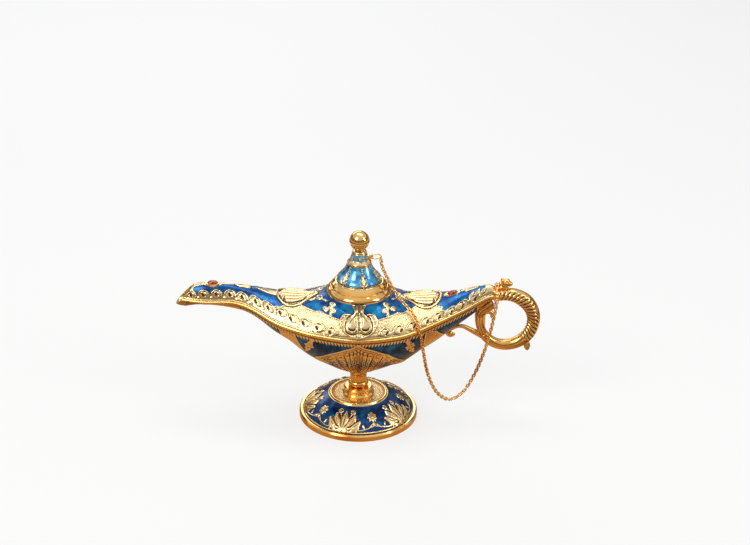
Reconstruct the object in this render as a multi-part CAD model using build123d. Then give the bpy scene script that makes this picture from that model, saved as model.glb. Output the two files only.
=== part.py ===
from build123d import *
import math
import os

# A footed oil lamp in plated cast metal and enamel. The origin is the centre of the foot's rest face.
# +X runs to the handle, -X to the spout, -Y is the front and +Z is up. Every length is in millimetres.

# Body
spout_reach = 103.3  # foot centre to the tip of the spout
tail_reach = 75.0  # foot centre to the blunt end of the body
body_half_width = 28.4  # at the seam, over the foot
seam_level = 60.9  # height of the seam over the foot
spout_sheer = 12.2  # rise of the seam towards the spout
tail_sheer = 16.5  # rise of the seam towards the tail
crown_rise = 19.4  # shell above the seam, over the foot
keel_drop = 31.7  # hull below the seam, over the foot
body_wall = 1.3
mouth_slant = 46.0  # degrees between the mouth's plane and level
mouth_lip_level = 69.6  # height of the lower lip
seam_joint = 0.1  # solder line between the two shells
bead_proud = 0.9  # seam bead beyond the body
bead_height = 2.0
end_wall = 4.5  # solid end of the tail

# Neck and collar
neck_radius = 18.3
neck_level = 78.7  # the shell's seat for the collar
neck_flare = 5.9  # how far the neck spreads into the shell
neck_flare_drop = 11.0
collar_height = 3.3
collar_taper = 1.9  # how much the collar narrows to its upper edge
collar_wall = 3.9
sleeve_wall = 1.3
sleeve_length = 4.4
sleeve_clearance = 0.1
collar_edge = 0.35  # rounding of the collar's upper edge

# Lid
lid_seat_gap = 0.05
lid_clearance = 0.3  # spigot in the collar
spigot_wall = 1.8
spigot_length = 6.2
rim_height = 3.0
rim_overhang = 0.6  # how much smaller the lid's rim is than the collar
rim_step_radius = 12.9  # the cone stands inside this radius
rim_step_drop = 1.3
cone_base_radius = 12.8
cone_height = 12.4
cone_wall = 1.6
cone_top_radius = 6.6
enamel_depth = 0.4
fit_gap = 0.02  # between turned parts that sit in each other
crown_tier_height = 7.3
crown_skirt_radius = 6.7
crown_skirt_height = 1.0
crown_top_radius = 3.8
ball_radius = 5.6
ball_seat_height = 0.9
ball_seat_radius = 2.6
stud_radius = 1.4
stud_clearance = 0.06
stud_head_radius = 2.8
stud_head_height = 1.8
stud_reach = 5.8  # how far the stud enters the ball

# Eye and wire ring on the lid
eye_radius = 1.25
eye_thickness = 1.0
eye_reach = 6.4  # lid axis to the hole in the eye
eye_level = 3.3  # hole above the foot of the upper tier
ring_wire_radius = 0.35
ring_radius = 2.85  # to the middle of the wire
ring_lift = 4.0  # degrees that the ring stands above level
ring_hole_clearance = 0.1

# Foot and stem
foot_radius = 33.9
foot_rim_width = 1.9
foot_rim_height = 3.5
foot_rim_edge = 0.8
foot_wall = 2.2
foot_disc_level = 13.3
foot_swell = 1.3  # rise of the sloping field above a straight cone
foot_ring_radius = 15.6
foot_ring_width = 1.8
foot_ring_proud = 0.7
foot_enamel_depth = 0.5
foot_hub_radius = 6.0
foot_hub_level = 4.0
bell_base_radius = 9.1
bell_top_radius = 8.3
bell_height = 4.9
bell_edge = 0.9
bead_radius = 5.2
bead_band_height = 3.9
column_radius = 4.7
column_cup_radius = 5.7
column_cup_height = 3.2
hull_pad_radius = 5.9
hull_pad_drop = 0.8  # pad below the keel
hull_pad_rise = 3.4  # flat seat inside, above the keel

# Bolt through foot, stem and hull
bolt_radius = 1.95
bolt_clearance = 0.15
bolt_head_radius = 3.6
bolt_head_height = 2.0
washer_thickness = 0.8
washer_radius = 4.4
nut_across_flats = 7.0
nut_height = 3.2
bolt_end = 0.8  # thread past the nut

# Palmettes and gems on the shell
palmette_length = 24.0
palmette_width = 23.0
palmette_relief = 0.8
palmette_station = 34.6  # foot centre to the middle of the two palmettes on the centreline
side_palmette_length = 19.5
side_palmette_width = 22.0
palmette_root = 4.0  # how far the palmettes' outlines are swept below the shell
gem_bezel_length = 8.8
gem_bezel_width = 5.2
gem_bezel_proud = 0.35
gem_bezel_sink = 1.4
gem_length = 6.2
gem_width = 3.4
gem_height = 1.3
spout_gem_inset = 21.3  # middle of the spout's gem from the tip
tail_gem_inset = 22.5  # middle of the tail's gem from the blunt end

# Handle
handle_reach = 102.5  # foot centre to the outside of the handle
grip_radius = 3.9  # at the outer side of the large bend
grip_bend = 15.9  # radius of the large bend, to the middle of the bar
lower_bend = 13.8
strut_radius = 2.5
strut_bend = 21.6
strut_top_bend = 7.0
strut_run = 5.0  # straight end of the strut, under the end of the body
grip_level = 60.9  # height of the middle of the large bend
ferrule_radius = 4.1
ferrule_level = 77.7
rivet_radius = 1.1
rivet_clearance = 0.06
rivet_head_radius = 1.5
rivet_head_height = 1.0
rivet_reach = 2.6  # past the ferrule's inner face
tendril_radius = 1.3
tendril_curl_bend = 1.8
strut_curl_radius = 1.35
strut_curl_bend = 2.7
strut_curl_run = 6.6  # straight run of the inner curl beside the strut
head_length = 8.0
head_width = 5.0
head_height = 6.2
tassel_length = 10.4
tassel_radius = 2.3
tassel_tip_radius = 1.3

# Chain
link_length = 3.6
link_width = 2.3
link_wire_radius = 0.29
link_play = 0.1  # gap between one link and the next
loop_clearance = 0.35  # chain loop on the neck of the handle

overrun = 6.0  # how far cutting solids run past what they cut

# Body stations from the foot's centre to the spout, as shares of spout_reach, body_half_width,
# spout_sheer, crown_rise and keel_drop.
spout_station_shares = (
    (0.09, 0.985, 0.03, 0.95, 0.95),
    (0.20, 0.930, 0.12, 0.76, 0.83),
    (0.33, 0.780, 0.235, 0.575, 0.578),
    (0.445, 0.585, 0.385, 0.545, 0.368),
    (0.545, 0.410, 0.715, 0.475, 0.236),
    (0.645, 0.275, 0.97, 0.425, 0.177),
    (0.76, 0.218, 1.0, 0.475, 0.110),
    (0.88, 0.182, 0.985, 0.445, 0.090),
    (1.0, 0.122, 0.93, 0.36, 0.055),
)

# The same towards the tail, as shares of tail_reach, body_half_width, tail_sheer, crown_rise and keel_drop.
tail_station_shares = (
    (0.12, 0.985, 0.02, 0.95, 0.955),
    (0.27, 0.930, 0.075, 0.715, 0.868),
    (0.44, 0.765, 0.18, 0.54, 0.695),
    (0.58, 0.585, 0.34, 0.450, 0.54),
    (0.71, 0.400, 0.49, 0.435, 0.395),
    (0.84, 0.250, 0.70, 0.39, 0.27),
    (0.93, 0.165, 0.885, 0.325, 0.18),
    (1.0, 0.125, 0.97, 0.255, 0.095),
)

# Handles of the section curves: share of the half width, share of the height.
crown_curve_shares = ((0.88, 0.47), (0.52, 1.0))
keel_curve_shares = ((0.95, 0.50), (0.50, 1.0))

# Route of the chain, from the wire ring on the lid over the shell to the neck of the handle.
chain_on_lid = [
    (11.9, -0.4, 98.9),
    (12.3, -2.0, 94.8),
    (15.0, -4.4, 90.0),
    (18.2, -7.2, 84.6),
    (22.6, -10.2, 78.2),
    (27.6, -14.0, 74.6),
    (31.6, -19.6, 71.4),
    (34.2, -24.2, 64.6),
]
chain_hanging = [
    (34.2, -24.2, 64.6),
    (36.0, -24.2, 52.0),
    (38.6, -22.0, 37.0),
    (43.8, -18.4, 23.4),
    (51.6, -13.8, 15.4),
    (59.8, -9.8, 18.6),
    (66.2, -7.4, 29.4),
    (71.0, -6.4, 43.0),
    (74.6, -5.9, 57.0),
    (77.0, -5.7, 73.4),
]


def station_values(row, reach, sheer, side):
    """Place, half width, seam height, crown height and keel depth of one station of the body."""
    place, width, rise, crown, keel = row
    return (
        side * place * reach,
        width * body_half_width,
        seam_level + rise * sheer,
        crown * crown_rise,
        keel * keel_drop,
    )


def body_stations():
    spout = [station_values(row, spout_reach, spout_sheer, -1) for row in reversed(spout_station_shares)]
    middle = [(0, body_half_width, seam_level, crown_rise, keel_drop)]
    tail = [station_values(row, tail_reach, tail_sheer, 1) for row in tail_station_shares]
    return spout + middle + tail


def crown_at(place):
    """Height of the shell's ridge at a place along X, on a smooth line through the stations."""
    ridge = Spline(*[(row[0], row[2] + row[3]) for row in body_stations()])
    low, high = 0.0, 1.0
    for _ in range(40):
        middle = (low + high) / 2
        if (ridge @ middle).X < place:
            low = middle
        else:
            high = middle
    return (ridge @ low).Y


def section_plane(place, level):
    return Plane(origin=(place, 0, level), x_dir=(0, 1, 0), z_dir=(1, 0, 0))


def half_curve(width, height, shares, side):
    """Curve from the seam on one side to the middle; a negative height goes down to the keel."""
    points = [(side * width, 0)]
    points += [(side * width * across, height * up) for across, up in shares]
    points.append((0, height))
    return Bezier(*points)


def upper_section(row, shrink=0.0):
    place, width, level, crown, _ = row
    width, crown = width - shrink, crown - shrink
    edges = [half_curve(width, crown, crown_curve_shares, side) for side in (1, -1)]
    floor = Line((-width, 0), (width, 0))
    return section_plane(place, level + seam_joint / 2) * make_face(edges + [floor])


def lower_section(row, shrink=0.0):
    place, width, level, _, keel = row
    width, keel = width - shrink, keel - shrink
    edges = [half_curve(width, -keel, keel_curve_shares, side) for side in (1, -1)]
    deck = Line((-width, 0), (width, 0))
    return section_plane(place, level - seam_joint / 2) * make_face(edges + [deck])


def full_section(row, shrink):
    place, width, level, crown, keel = row
    width, crown, keel = width - shrink, crown - shrink, keel - shrink
    edges = [half_curve(width, crown, crown_curve_shares, side) for side in (1, -1)]
    edges += [half_curve(width, -keel, keel_curve_shares, side) for side in (1, -1)]
    return section_plane(place, level) * make_face(edges)


def cavity():
    """The hollow of the body: open at the spout, closed at the tail."""
    rows = body_stations()
    tip = rows[0]
    outside = (tip[0] - overrun,) + tip[1:]
    end, before = rows[-1], rows[-2]
    share = (end[0] - end_wall - before[0]) / (end[0] - before[0])
    closed = tuple(a + share * (b - a) for a, b in zip(before, end))
    clear = [row for row in rows if row[0] < closed[0] - end_wall / 2]
    return loft([full_section(row, body_wall) for row in [outside] + clear + [closed]])


def mouth_cutter():
    """Solid that cuts the spout's mouth on a slant."""
    tip = Vector(-spout_reach, 0, mouth_lip_level)
    slope = mouth_slant - 90
    block = Box(spout_reach, spout_reach, spout_reach, align=(Align.MAX, Align.CENTER, Align.CENTER))
    return Location((tip.X, 0, tip.Z)) * Rotation(0, -slope, 0) * block


def revolved(points):
    """Ring or shell of revolution about Z from an outline of (radius, height)."""
    return revolve(Plane.XZ * make_face(Polyline(*points, close=True)), axis=Axis.Z)


def ring(inner, outer, low, high):
    return revolved([(inner, low), (outer, low), (outer, high), (inner, high)])


def neck_solid(grow=0.0):
    """The neck's outside, grown by a thickness: a concave flare from the collar's seat into the shell."""
    radius = neck_radius + grow
    top = (radius, neck_level)
    foot = (radius + neck_flare, neck_level - neck_flare_drop)
    waist = (radius + 0.2 * neck_flare, neck_level - 0.45 * neck_flare_drop)
    sweep_in = Bezier(top, waist, foot)
    low = foot[1] - 0.4 * neck_flare_drop
    sides = Polyline(foot, (foot[0], low), (0, low), (0, neck_level), top)
    return revolve(Plane.XZ * make_face([sweep_in, sides]), axis=Axis.Z)


def collar_sleeve_radius():
    return neck_radius - collar_wall + sleeve_wall


def upper_outer():
    return loft([upper_section(row) for row in body_stations()])


def lower_outer():
    return loft([lower_section(row) for row in body_stations()])


def upper_shell(outer, hollow, inlays):
    shell = outer + neck_solid()
    above = Cylinder(
        neck_radius + neck_flare,
        crown_rise,
        align=(Align.CENTER, Align.CENTER, Align.MIN),
    )
    shell -= Pos(0, 0, neck_level) * above
    shell -= hollow
    bore = collar_sleeve_radius() + sleeve_clearance
    shell -= Pos(0, 0, neck_level) * Cylinder(bore, crown_rise)
    shell -= mouth_cutter()
    for inlay in inlays:
        shell -= inlay
    return shell


def keel_level():
    return seam_level - keel_drop


def lower_hull(outer, hollow):
    hull = outer - hollow
    pad_low = keel_level() - hull_pad_drop
    pad_high = keel_level() + hull_pad_rise
    hull += ring(bolt_hole_radius(), hull_pad_radius, pad_low, pad_high)
    bore = Cylinder(bolt_hole_radius(), keel_drop)
    hull -= Pos(0, 0, keel_level()) * bore
    return hull - mouth_cutter()


def bead_section(row):
    place, width, level, _, _ = row
    face = RectangleRounded(
        2 * (width + bead_proud), bead_height, min(0.49 * bead_height, bead_proud)
    )
    return section_plane(place, level) * face


def seam_bead(upper, lower):
    """Soldered bead over the joint of the two shells."""
    band = loft([bead_section(row) for row in body_stations()])
    cut = loft([full_section(row, body_wall / 2) for row in body_stations()])
    return band - cut - upper - lower - mouth_cutter()


def neck_collar():
    """Polished ring on the neck, drawn in towards the lid, with a sleeve down into the shell."""
    inner = neck_radius - collar_wall
    sleeve = collar_sleeve_radius()
    low = neck_level - sleeve_length
    top = neck_level + collar_height
    edge = (neck_radius - collar_taper, top - collar_edge)
    side = Bezier(
        (neck_radius, neck_level + collar_edge),
        (neck_radius, neck_level + collar_height / 2),
        edge,
    )
    rest = Polyline(
        edge,
        (edge[0] - collar_edge, top),
        (inner, top),
        (inner, low),
        (sleeve, low),
        (sleeve, neck_level),
        (neck_radius, neck_level),
        (neck_radius, neck_level + collar_edge),
    )
    return revolve(Plane.XZ * make_face([side, rest]), axis=Axis.Z)


def lid_base_level():
    return neck_level + collar_height + lid_seat_gap


def cone_base_level():
    return lid_base_level() + rim_height - rim_step_drop


def cone_top_level():
    return cone_base_level() + cone_height


def lid_rim():
    low = lid_base_level()
    top = low + rim_height
    outer = neck_radius - collar_taper - rim_overhang
    inner = rim_step_radius - rim_step_drop
    shoulder = rim_step_radius + (outer - rim_step_radius) * 0.72
    return revolved(
        [
            (inner, low),
            (outer, low),
            (outer, low + rim_height * 0.3),
            (shoulder, low + rim_height * 0.58),
            (rim_step_radius + rim_height * 0.17, top),
            (rim_step_radius, top),
            (rim_step_radius, cone_base_level()),
            (inner, cone_base_level()),
        ]
    )


def lid_spigot():
    outer = neck_radius - collar_wall - lid_clearance
    low = lid_base_level() - spigot_length
    return ring(outer - spigot_wall, outer, low, lid_base_level())


# Outline of the lid's cone above its base: share of the base radius, share of the height.
cone_outline_shares = ((1.0, 0.13), (0.98, 0.25), (0.92, 0.34), (0.79, 0.47), (0.68, 0.63), (0.58, 0.82))


def cone_outline(depth):
    """Outside of the cone from its base up, sunk by depth."""
    base = cone_base_level()
    points = [
        (across * cone_base_radius - depth, base + up * cone_height)
        for across, up in cone_outline_shares
    ]
    return points + [(cone_top_radius - depth, cone_top_level())]


def lid_cone():
    base = cone_base_level()
    outside = [(cone_base_radius, base)]
    outside += [(cone_base_radius, cone_outline(0)[0][1])]
    outside += cone_outline(enamel_depth)
    inside = [(r, z) for r, z in reversed(cone_outline(enamel_depth + cone_wall)[:-1])]
    hole = stud_radius + stud_clearance
    roof = inside[0][1]
    inside = [(hole, cone_top_level()), (hole, roof)] + inside
    inside.append((cone_base_radius - cone_wall, base))
    return revolved(outside + inside)


def lid_enamel():
    outer = cone_outline(0)
    inner = cone_outline(enamel_depth)
    return revolved(outer + list(reversed(inner)))


def lid_crown():
    low = cone_top_level()
    skirt = low + crown_skirt_height
    top = low + crown_tier_height
    hole = stud_radius + stud_clearance
    waist = crown_skirt_radius * 0.76
    return revolved(
        [
            (hole, low),
            (crown_skirt_radius - enamel_depth, low),
            (crown_skirt_radius, low + crown_skirt_height * 0.6),
            (crown_skirt_radius - enamel_depth, skirt),
            (waist, skirt + crown_tier_height * 0.16),
            ((waist + crown_top_radius) / 2, skirt + crown_tier_height * 0.42),
            (crown_top_radius, top),
            (hole, top),
        ]
    )


def crown_top_level():
    return cone_top_level() + crown_tier_height


def ball_centre_level():
    drop = math.sqrt(ball_radius**2 - ball_seat_radius**2)
    return crown_top_level() + ball_seat_height + drop


def finial_seat():
    hole = stud_radius + stud_clearance
    low = crown_top_level()
    return ring(hole, ball_seat_radius, low, low + ball_seat_height)


def finial_ball():
    centre = ball_centre_level()
    seat = crown_top_level() + ball_seat_height
    ball = Pos(0, 0, centre) * Sphere(ball_radius)
    ball -= Pos(0, 0, seat) * Box(
        2 * ball_radius,
        2 * ball_radius,
        2 * ball_radius,
        align=(Align.CENTER, Align.CENTER, Align.MAX),
    )
    hole = stud_radius + stud_clearance
    depth = stud_reach + stud_clearance
    bore = Cylinder(hole, depth, align=(Align.CENTER, Align.CENTER, Align.MIN))
    return ball - Pos(0, 0, seat) * bore


def finial_stud():
    """Stud from inside the lid's cone up into the ball."""
    roof = cone_outline(0)[-2][1]
    end = crown_top_level() + ball_seat_height + stud_reach
    return revolved(
        [
            (0, roof - stud_head_height),
            (stud_head_radius, roof - stud_head_height),
            (stud_head_radius, roof),
            (stud_radius, roof),
            (stud_radius, end),
            (0, end),
        ]
    )


def eye_centre():
    return Vector(eye_reach, 0, cone_top_level() + eye_level)


def lid_eye(crown):
    """Cast eye on the upper tier, with its hole across."""
    hole = ring_wire_radius + ring_hole_clearance
    place = Location(eye_centre(), (90, 0, 0))
    disc = Cylinder(eye_radius, eye_thickness)
    root = Box(eye_radius * 2, eye_radius * 1.2, eye_thickness, align=(Align.MAX, Align.CENTER, Align.CENTER))
    return place * (disc + root - Cylinder(hole, 2 * eye_thickness)) - crown


def lid_ring():
    """Round wire ring through the eye, standing out nearly level."""
    centre = Pos(ring_radius, 0, 0)
    return Location(eye_centre(), (0, -ring_lift, 0)) * centre * Torus(ring_radius, ring_wire_radius)


def foot_field(depth):
    """Curve of the foot's swelling field from its outer to its inner end, sunk by depth."""
    outer = (foot_radius - foot_rim_width, foot_rim_height - depth)
    inner = (foot_ring_radius + foot_ring_width / 2, foot_disc_level - depth)
    crest = ((outer[0] + inner[0]) / 2, (outer[1] + inner[1]) / 2 + foot_swell)
    return ThreePointArc(outer, crest, inner)


def foot_plate():
    field = foot_field(foot_enamel_depth)
    under = foot_field(foot_enamel_depth + foot_wall) @ 1
    hole = bolt_hole_radius()
    rim_inside = foot_radius - foot_rim_width
    ring_top = foot_disc_level + foot_ring_proud
    ring_low = foot_ring_radius - foot_ring_width / 2
    rest = Polyline(
        field @ 1,
        ((field @ 1).X, foot_disc_level),
        (foot_ring_radius + foot_ring_width / 4, ring_top),
        (foot_ring_radius - foot_ring_width / 4, ring_top),
        (ring_low, foot_disc_level),
        (hole, foot_disc_level),
        (hole, foot_hub_level),
        (foot_hub_radius, foot_hub_level),
        (foot_hub_radius, under.Y),
        (under.X - foot_wall, under.Y),
        (rim_inside - foot_wall, foot_enamel_depth + foot_wall / 2),
        (rim_inside, 0),
        (foot_radius, 0),
        (foot_radius, foot_rim_height - foot_rim_edge),
        (foot_radius - foot_rim_edge, foot_rim_height),
        (rim_inside, foot_rim_height),
        field @ 0,
    )
    return revolve(Plane.XZ * make_face([field, rest]), axis=Axis.Z)


def foot_enamel():
    top, seat = foot_field(0), foot_field(foot_enamel_depth)
    ends = [Line(top @ 0, seat @ 0), Line(top @ 1, seat @ 1)]
    return revolve(Plane.XZ * make_face([top, seat] + ends), axis=Axis.Z)


def bolt_hole_radius():
    return bolt_radius + bolt_clearance


def bell_top_level():
    return foot_disc_level + bell_height


def stem_bell():
    hole = bolt_hole_radius()
    low, top = foot_disc_level, bell_top_level()
    return revolved(
        [
            (hole, low),
            (bell_base_radius, low),
            (bell_base_radius, low + bell_edge),
            (bell_base_radius - bell_edge, low + 2 * bell_edge),
            (bell_top_radius, top - bell_edge),
            (bell_top_radius - bell_edge, top),
            (hole, top),
        ]
    )


def stem_top_level():
    return keel_level() - hull_pad_drop


def stem_column():
    """Bead, column and cup under the hull, turned in one."""
    hole = bolt_hole_radius()
    low, top = bell_top_level(), stem_top_level()
    waist = low + bead_band_height
    swell = Bezier(
        (column_radius, low),
        (bead_radius * 1.22, low + bead_band_height * 0.25),
        (bead_radius * 1.22, low + bead_band_height * 0.75),
        (column_radius, waist),
    )
    shaft = Line(swell @ 1, (column_radius, top - column_cup_height))
    cup = Bezier(
        shaft @ 1,
        (column_radius, top - column_cup_height / 2),
        (column_cup_radius, top - column_cup_height / 2),
        (column_cup_radius, top),
    )
    rest = Polyline(cup @ 1, (hole, top), (hole, low), swell @ 0)
    return revolve(Plane.XZ * make_face([swell, shaft, cup, rest]), axis=Axis.Z)


def stem_bolt():
    head_top = foot_hub_level - washer_thickness
    end = keel_level() + hull_pad_rise + washer_thickness + nut_height + bolt_end
    return revolved(
        [
            (0, head_top - bolt_head_height),
            (bolt_head_radius * 0.8, head_top - bolt_head_height),
            (bolt_head_radius, head_top - bolt_head_height * 0.6),
            (bolt_head_radius, head_top),
            (bolt_radius, head_top),
            (bolt_radius, end),
            (0, end),
        ]
    )


def foot_washer():
    return ring(bolt_hole_radius(), washer_radius, foot_hub_level - washer_thickness, foot_hub_level)


def hull_washer():
    low = keel_level() + hull_pad_rise
    return ring(bolt_hole_radius(), washer_radius, low, low + washer_thickness)


def hull_nut():
    low = keel_level() + hull_pad_rise + washer_thickness
    hexagon = RegularPolygon(nut_across_flats / 2, 6, major_radius=False)
    nut = extrude(hexagon - Circle(bolt_radius + fit_gap), nut_height)
    return Pos(0, 0, low) * nut


def ellipsoid(length, width, height):
    return scale(Sphere(1), by=(length / 2, width / 2, height / 2))


def palmette_outline(length, width):
    """Spade shape, long in X, with its bulb at -X and its point at +X."""
    bulb = Pos(-0.16 * length, 0) * Ellipse(0.34 * length, 0.5 * width)
    point = Pos(0.2 * length, 0) * Ellipse(0.3 * length, 0.23 * width)
    return bulb + point


def palmette_on_ridge(side, skin):
    """Raised palmette on the centreline; side is -1 towards the spout and 1 towards the tail."""
    facing = Vector(-side, 0, 0)
    plane = Plane(origin=(side * palmette_station, 0, seam_level), x_dir=facing, z_dir=(0, 0, 1))
    column = extrude(plane * palmette_outline(palmette_length, palmette_width), crown_rise + tail_sheer)
    return column & skin


def palmette_on_side(side, skin):
    """Raised palmette between seam and neck; side is -1 at the front and 1 at the back."""
    section = half_curve(body_half_width, crown_rise, crown_curve_shares, 1)
    spot, up = section @ 0.31, section % 0.31
    inward = Vector(0, side * up.X, up.Y)
    out = Vector(0, side * up.Y, -up.X)
    middle = Vector(0, side * spot.X, seam_level + spot.Y) - out * palmette_root
    plane = Plane(origin=middle, x_dir=inward, z_dir=out)
    outline = plane * palmette_outline(side_palmette_length, side_palmette_width)
    return extrude(outline, palmette_root + overrun) & skin


def gem_place(station):
    run = gem_bezel_length / 2
    slope = crown_at(station + run) - crown_at(station - run)
    tilt = -math.degrees(math.atan2(slope, 2 * run))
    return Location((station, 0, crown_at(station)), (0, tilt, 0))


def gem_bezel(station, height=gem_bezel_sink + gem_bezel_proud):
    """Oval plate let into the shell; a greater height gives the solid that cuts its seat."""
    plate = extrude(Ellipse(gem_bezel_length / 2, gem_bezel_width / 2), height)
    return gem_place(station) * Pos(0, 0, -gem_bezel_sink) * plate


def gem(station):
    stone = Pos(0, 0, gem_bezel_proud) * ellipsoid(gem_length, gem_width, 2 * gem_height)
    under = Pos(0, 0, gem_bezel_proud) * Box(
        2 * gem_length,
        2 * gem_length,
        2 * gem_height,
        align=(Align.CENTER, Align.CENTER, Align.MAX),
    )
    return gem_place(station) * (stone - under)


def bend_middle():
    """Centre of the handle's large bend."""
    return Vector(handle_reach - grip_radius - grip_bend, 0, grip_level)


def in_profile(edge):
    """Turns a drawing in (X, Z) into the plane of the handle."""
    return Plane(origin=(0, 0, 0), x_dir=(1, 0, 0), z_dir=(0, -1, 0)) * edge


def tapered_bar(edges, radius, shares):
    """Round bar along a drawing in the handle's plane; shares give its thickness along the way."""
    path = in_profile(Wire(edges))
    sections = [
        Plane(origin=path @ at, z_dir=path % at) * Circle(radius * share) for at, share in shares
    ]
    return sweep(sections, path=path, multisection=True)


def handle_lines():
    """Middle lines of the handle: two bends of the grip, then the strut's bends and its run to the ferrule."""
    centre = bend_middle()
    start_angle = 103
    first = CenterArc((centre.X, centre.Z), grip_bend, start_angle, -start_angle - 90)
    second = JernArc(first @ 1, first % 1, lower_bend, -60)
    strut = JernArc(second @ 1, second % 1, strut_bend, -30)
    turn = JernArc(strut @ 1, strut % 1, strut_top_bend, -55)
    run = Line(turn @ 1, (turn @ 1) + (turn % 1) * strut_run)
    return first, second, strut, turn, run


# Thickness of the handle's bars along their length: share of the path, share of the bar's radius.
grip_taper_shares = ((0, 0.90), (0.22, 1.12), (0.42, 0.98), (0.62, 0.92), (0.8, 0.82), (1, 0.72))
strut_taper_shares = ((0, 1.0), (0.5, 1.0), (0.75, 1.2), (1, 1.42))
tendril_taper_shares = ((0, 1.5), (0.35, 1.3), (0.6, 0.92), (1, 0.8))
even_shares = ((0, 1), (1, 1))


def handle_grip():
    return tapered_bar(list(handle_lines()[:2]), grip_radius, grip_taper_shares)


def grip_start_radius():
    return grip_radius * grip_taper_shares[0][1]


def handle_ferrule():
    """Tapered socket between the end of the body and the grip."""
    first = handle_lines()[0]
    start = in_profile(Wire([first]))
    far = Plane(origin=start @ 0, z_dir=start % 0) * Circle(grip_start_radius())
    near = Plane(origin=(tail_reach, 0, ferrule_level), z_dir=(1, 0, 0)) * Circle(ferrule_radius)
    return loft([near, far], ruled=True)


def rivet_solid(radius):
    low = tail_reach - end_wall
    return Pos(low, 0, ferrule_level) * Rotation(0, 90, 0) * Cylinder(
        radius, end_wall + rivet_reach, align=(Align.CENTER, Align.CENTER, Align.MIN)
    )


def handle_rivet():
    head = Pos(tail_reach - end_wall, 0, ferrule_level) * Rotation(0, -90, 0) * Cylinder(
        rivet_head_radius, rivet_head_height, align=(Align.CENTER, Align.CENTER, Align.MIN)
    )
    return rivet_solid(rivet_radius) + head


def handle_strut(ferrule, hull):
    strut = tapered_bar(list(handle_lines()[2:]), strut_radius, strut_taper_shares)
    return strut - ferrule - hull


def strut_curl(strut, ferrule):
    """Small scroll inside the handle, beside the strut and over to the right."""
    bend = handle_lines()[2]
    root = (bend @ 0.45) + Vector(0.55 * strut_radius, 0)
    run = Line(root, root + Vector(0, strut_curl_run))
    curl = JernArc(run @ 1, run % 1, strut_curl_bend, -205)
    return tapered_bar([run, curl], strut_curl_radius, even_shares) - strut - ferrule


# Corners of the tendril from its root, as shares of grip_bend to the side and up.
tendril_shares = ((0, 0), (-0.72, 0.40), (-1.377, 0.76), (-1.767, 0.52))


def handle_tendril(neighbours):
    """Thin scroll that leaves the foot of the grip and curls under the hull."""
    first, second = handle_lines()[:2]
    root = second @ 0.25
    run = grip_bend
    points = [(root.X + left * run, root.Y + up * run) for left, up in tendril_shares]
    crest = FilletPolyline(*points, radius=[0.9 * run, 0.4 * run])
    curl = JernArc(crest @ 1, crest % 1, tendril_curl_bend, 230)
    tendril = tapered_bar(list(crest.edges()) + [curl], tendril_radius, tendril_taper_shares)
    for neighbour in neighbours:
        tendril -= neighbour
    return tendril


def handle_head():
    """Small cast knob on top of the grip, like the head of a beast that looks back."""
    first = handle_lines()[0]
    seat = first @ 0
    skull = Pos(0.2 * head_length, 0, 0.35 * head_height) * ellipsoid(
        head_length * 0.82, head_width, head_height
    )
    neck = ellipsoid(head_length * 0.7, head_width * 0.88, head_height * 0.8)
    place = Location((seat.X + 0.24 * head_length, 0, seat.Y + grip_radius + 0.16 * head_height))
    return place * (skull + neck)


def handle_tassel():
    """Tail tuft that hangs from the lower bend."""
    first = handle_lines()[0]
    root = first @ 0.72
    top = Plane(origin=(root.X, 0, root.Y), z_dir=(0, 0, -1)) * Circle(tassel_radius)
    waist = Plane(origin=(root.X, 0, root.Y - 0.55 * tassel_length), z_dir=(0, 0, -1)) * Circle(
        tassel_radius * 0.86
    )
    tip = Plane(origin=(root.X, 0, root.Y - tassel_length), z_dir=(0, 0, -1)) * Circle(tassel_tip_radius)
    return loft([top, waist, tip])


def link():
    """One oval link, lying in XY and long in X, with its middle at the origin."""
    bend = link_width / 2 - link_wire_radius
    half = link_length / 2 - link_width / 2
    edges = [
        Line((-half, -bend), (half, -bend)),
        CenterArc((half, 0), bend, -90, 180),
        Line((half, bend), (-half, bend)),
        CenterArc((-half, 0), bend, 90, 180),
    ]
    path = Wire(edges)
    start = Plane(origin=path @ 0, z_dir=path % 0)
    return sweep(start * Circle(link_wire_radius), path=path)


def link_pitch():
    return link_length - 4 * link_wire_radius - link_play


def links_on(path, first_turn=0, closed=False):
    """Links along a path, each a quarter turn from the one before."""
    count = round(path.length / link_pitch()) if closed else int(path.length / link_pitch())
    one = link()
    placed = []
    across = Vector(0, 0, 1)
    for number in range(count):
        at = (number + 0.5) / count if closed else (number + 0.5) * link_pitch() / path.length
        along = path % at
        across = (across - along * across.dot(along)).normalized()
        turned = across if (number + first_turn) % 2 == 0 else along.cross(across)
        plane = Plane(origin=path @ at, x_dir=along, z_dir=turned)
        placed.append(plane.location * one)
    return Compound(placed)


def corner_radii(points):
    """Radius of each bend: 0.45 of its shorter run over the tangent of half its turn."""
    radii = []
    for before, corner, after in zip(points, points[1:], points[2:]):
        one = Vector(*corner) - Vector(*before)
        two = Vector(*after) - Vector(*corner)
        turn = one.get_angle(two)
        radii.append(0.45 * min(one.length, two.length) / math.tan(math.radians(turn / 2)))
    return radii


def route(points):
    radii = corner_radii(points)
    print("chain bends, mm:", [round(radius, 1) for radius in radii])
    return FilletPolyline(*points, radius=radii)


def neck_loop_path():
    """Upright circle of chain round the ferrule."""
    seat = handle_lines()[0] @ 0
    middle = (Vector(tail_reach, 0, ferrule_level) + Vector(seat.X, 0, seat.Y)) / 2
    radius = ferrule_radius + loop_clearance + link_width / 2
    plane = Plane(origin=middle, x_dir=(0, 1, 0), z_dir=(1, 0, 0))
    return Wire([plane * Circle(radius).edge()])


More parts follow.
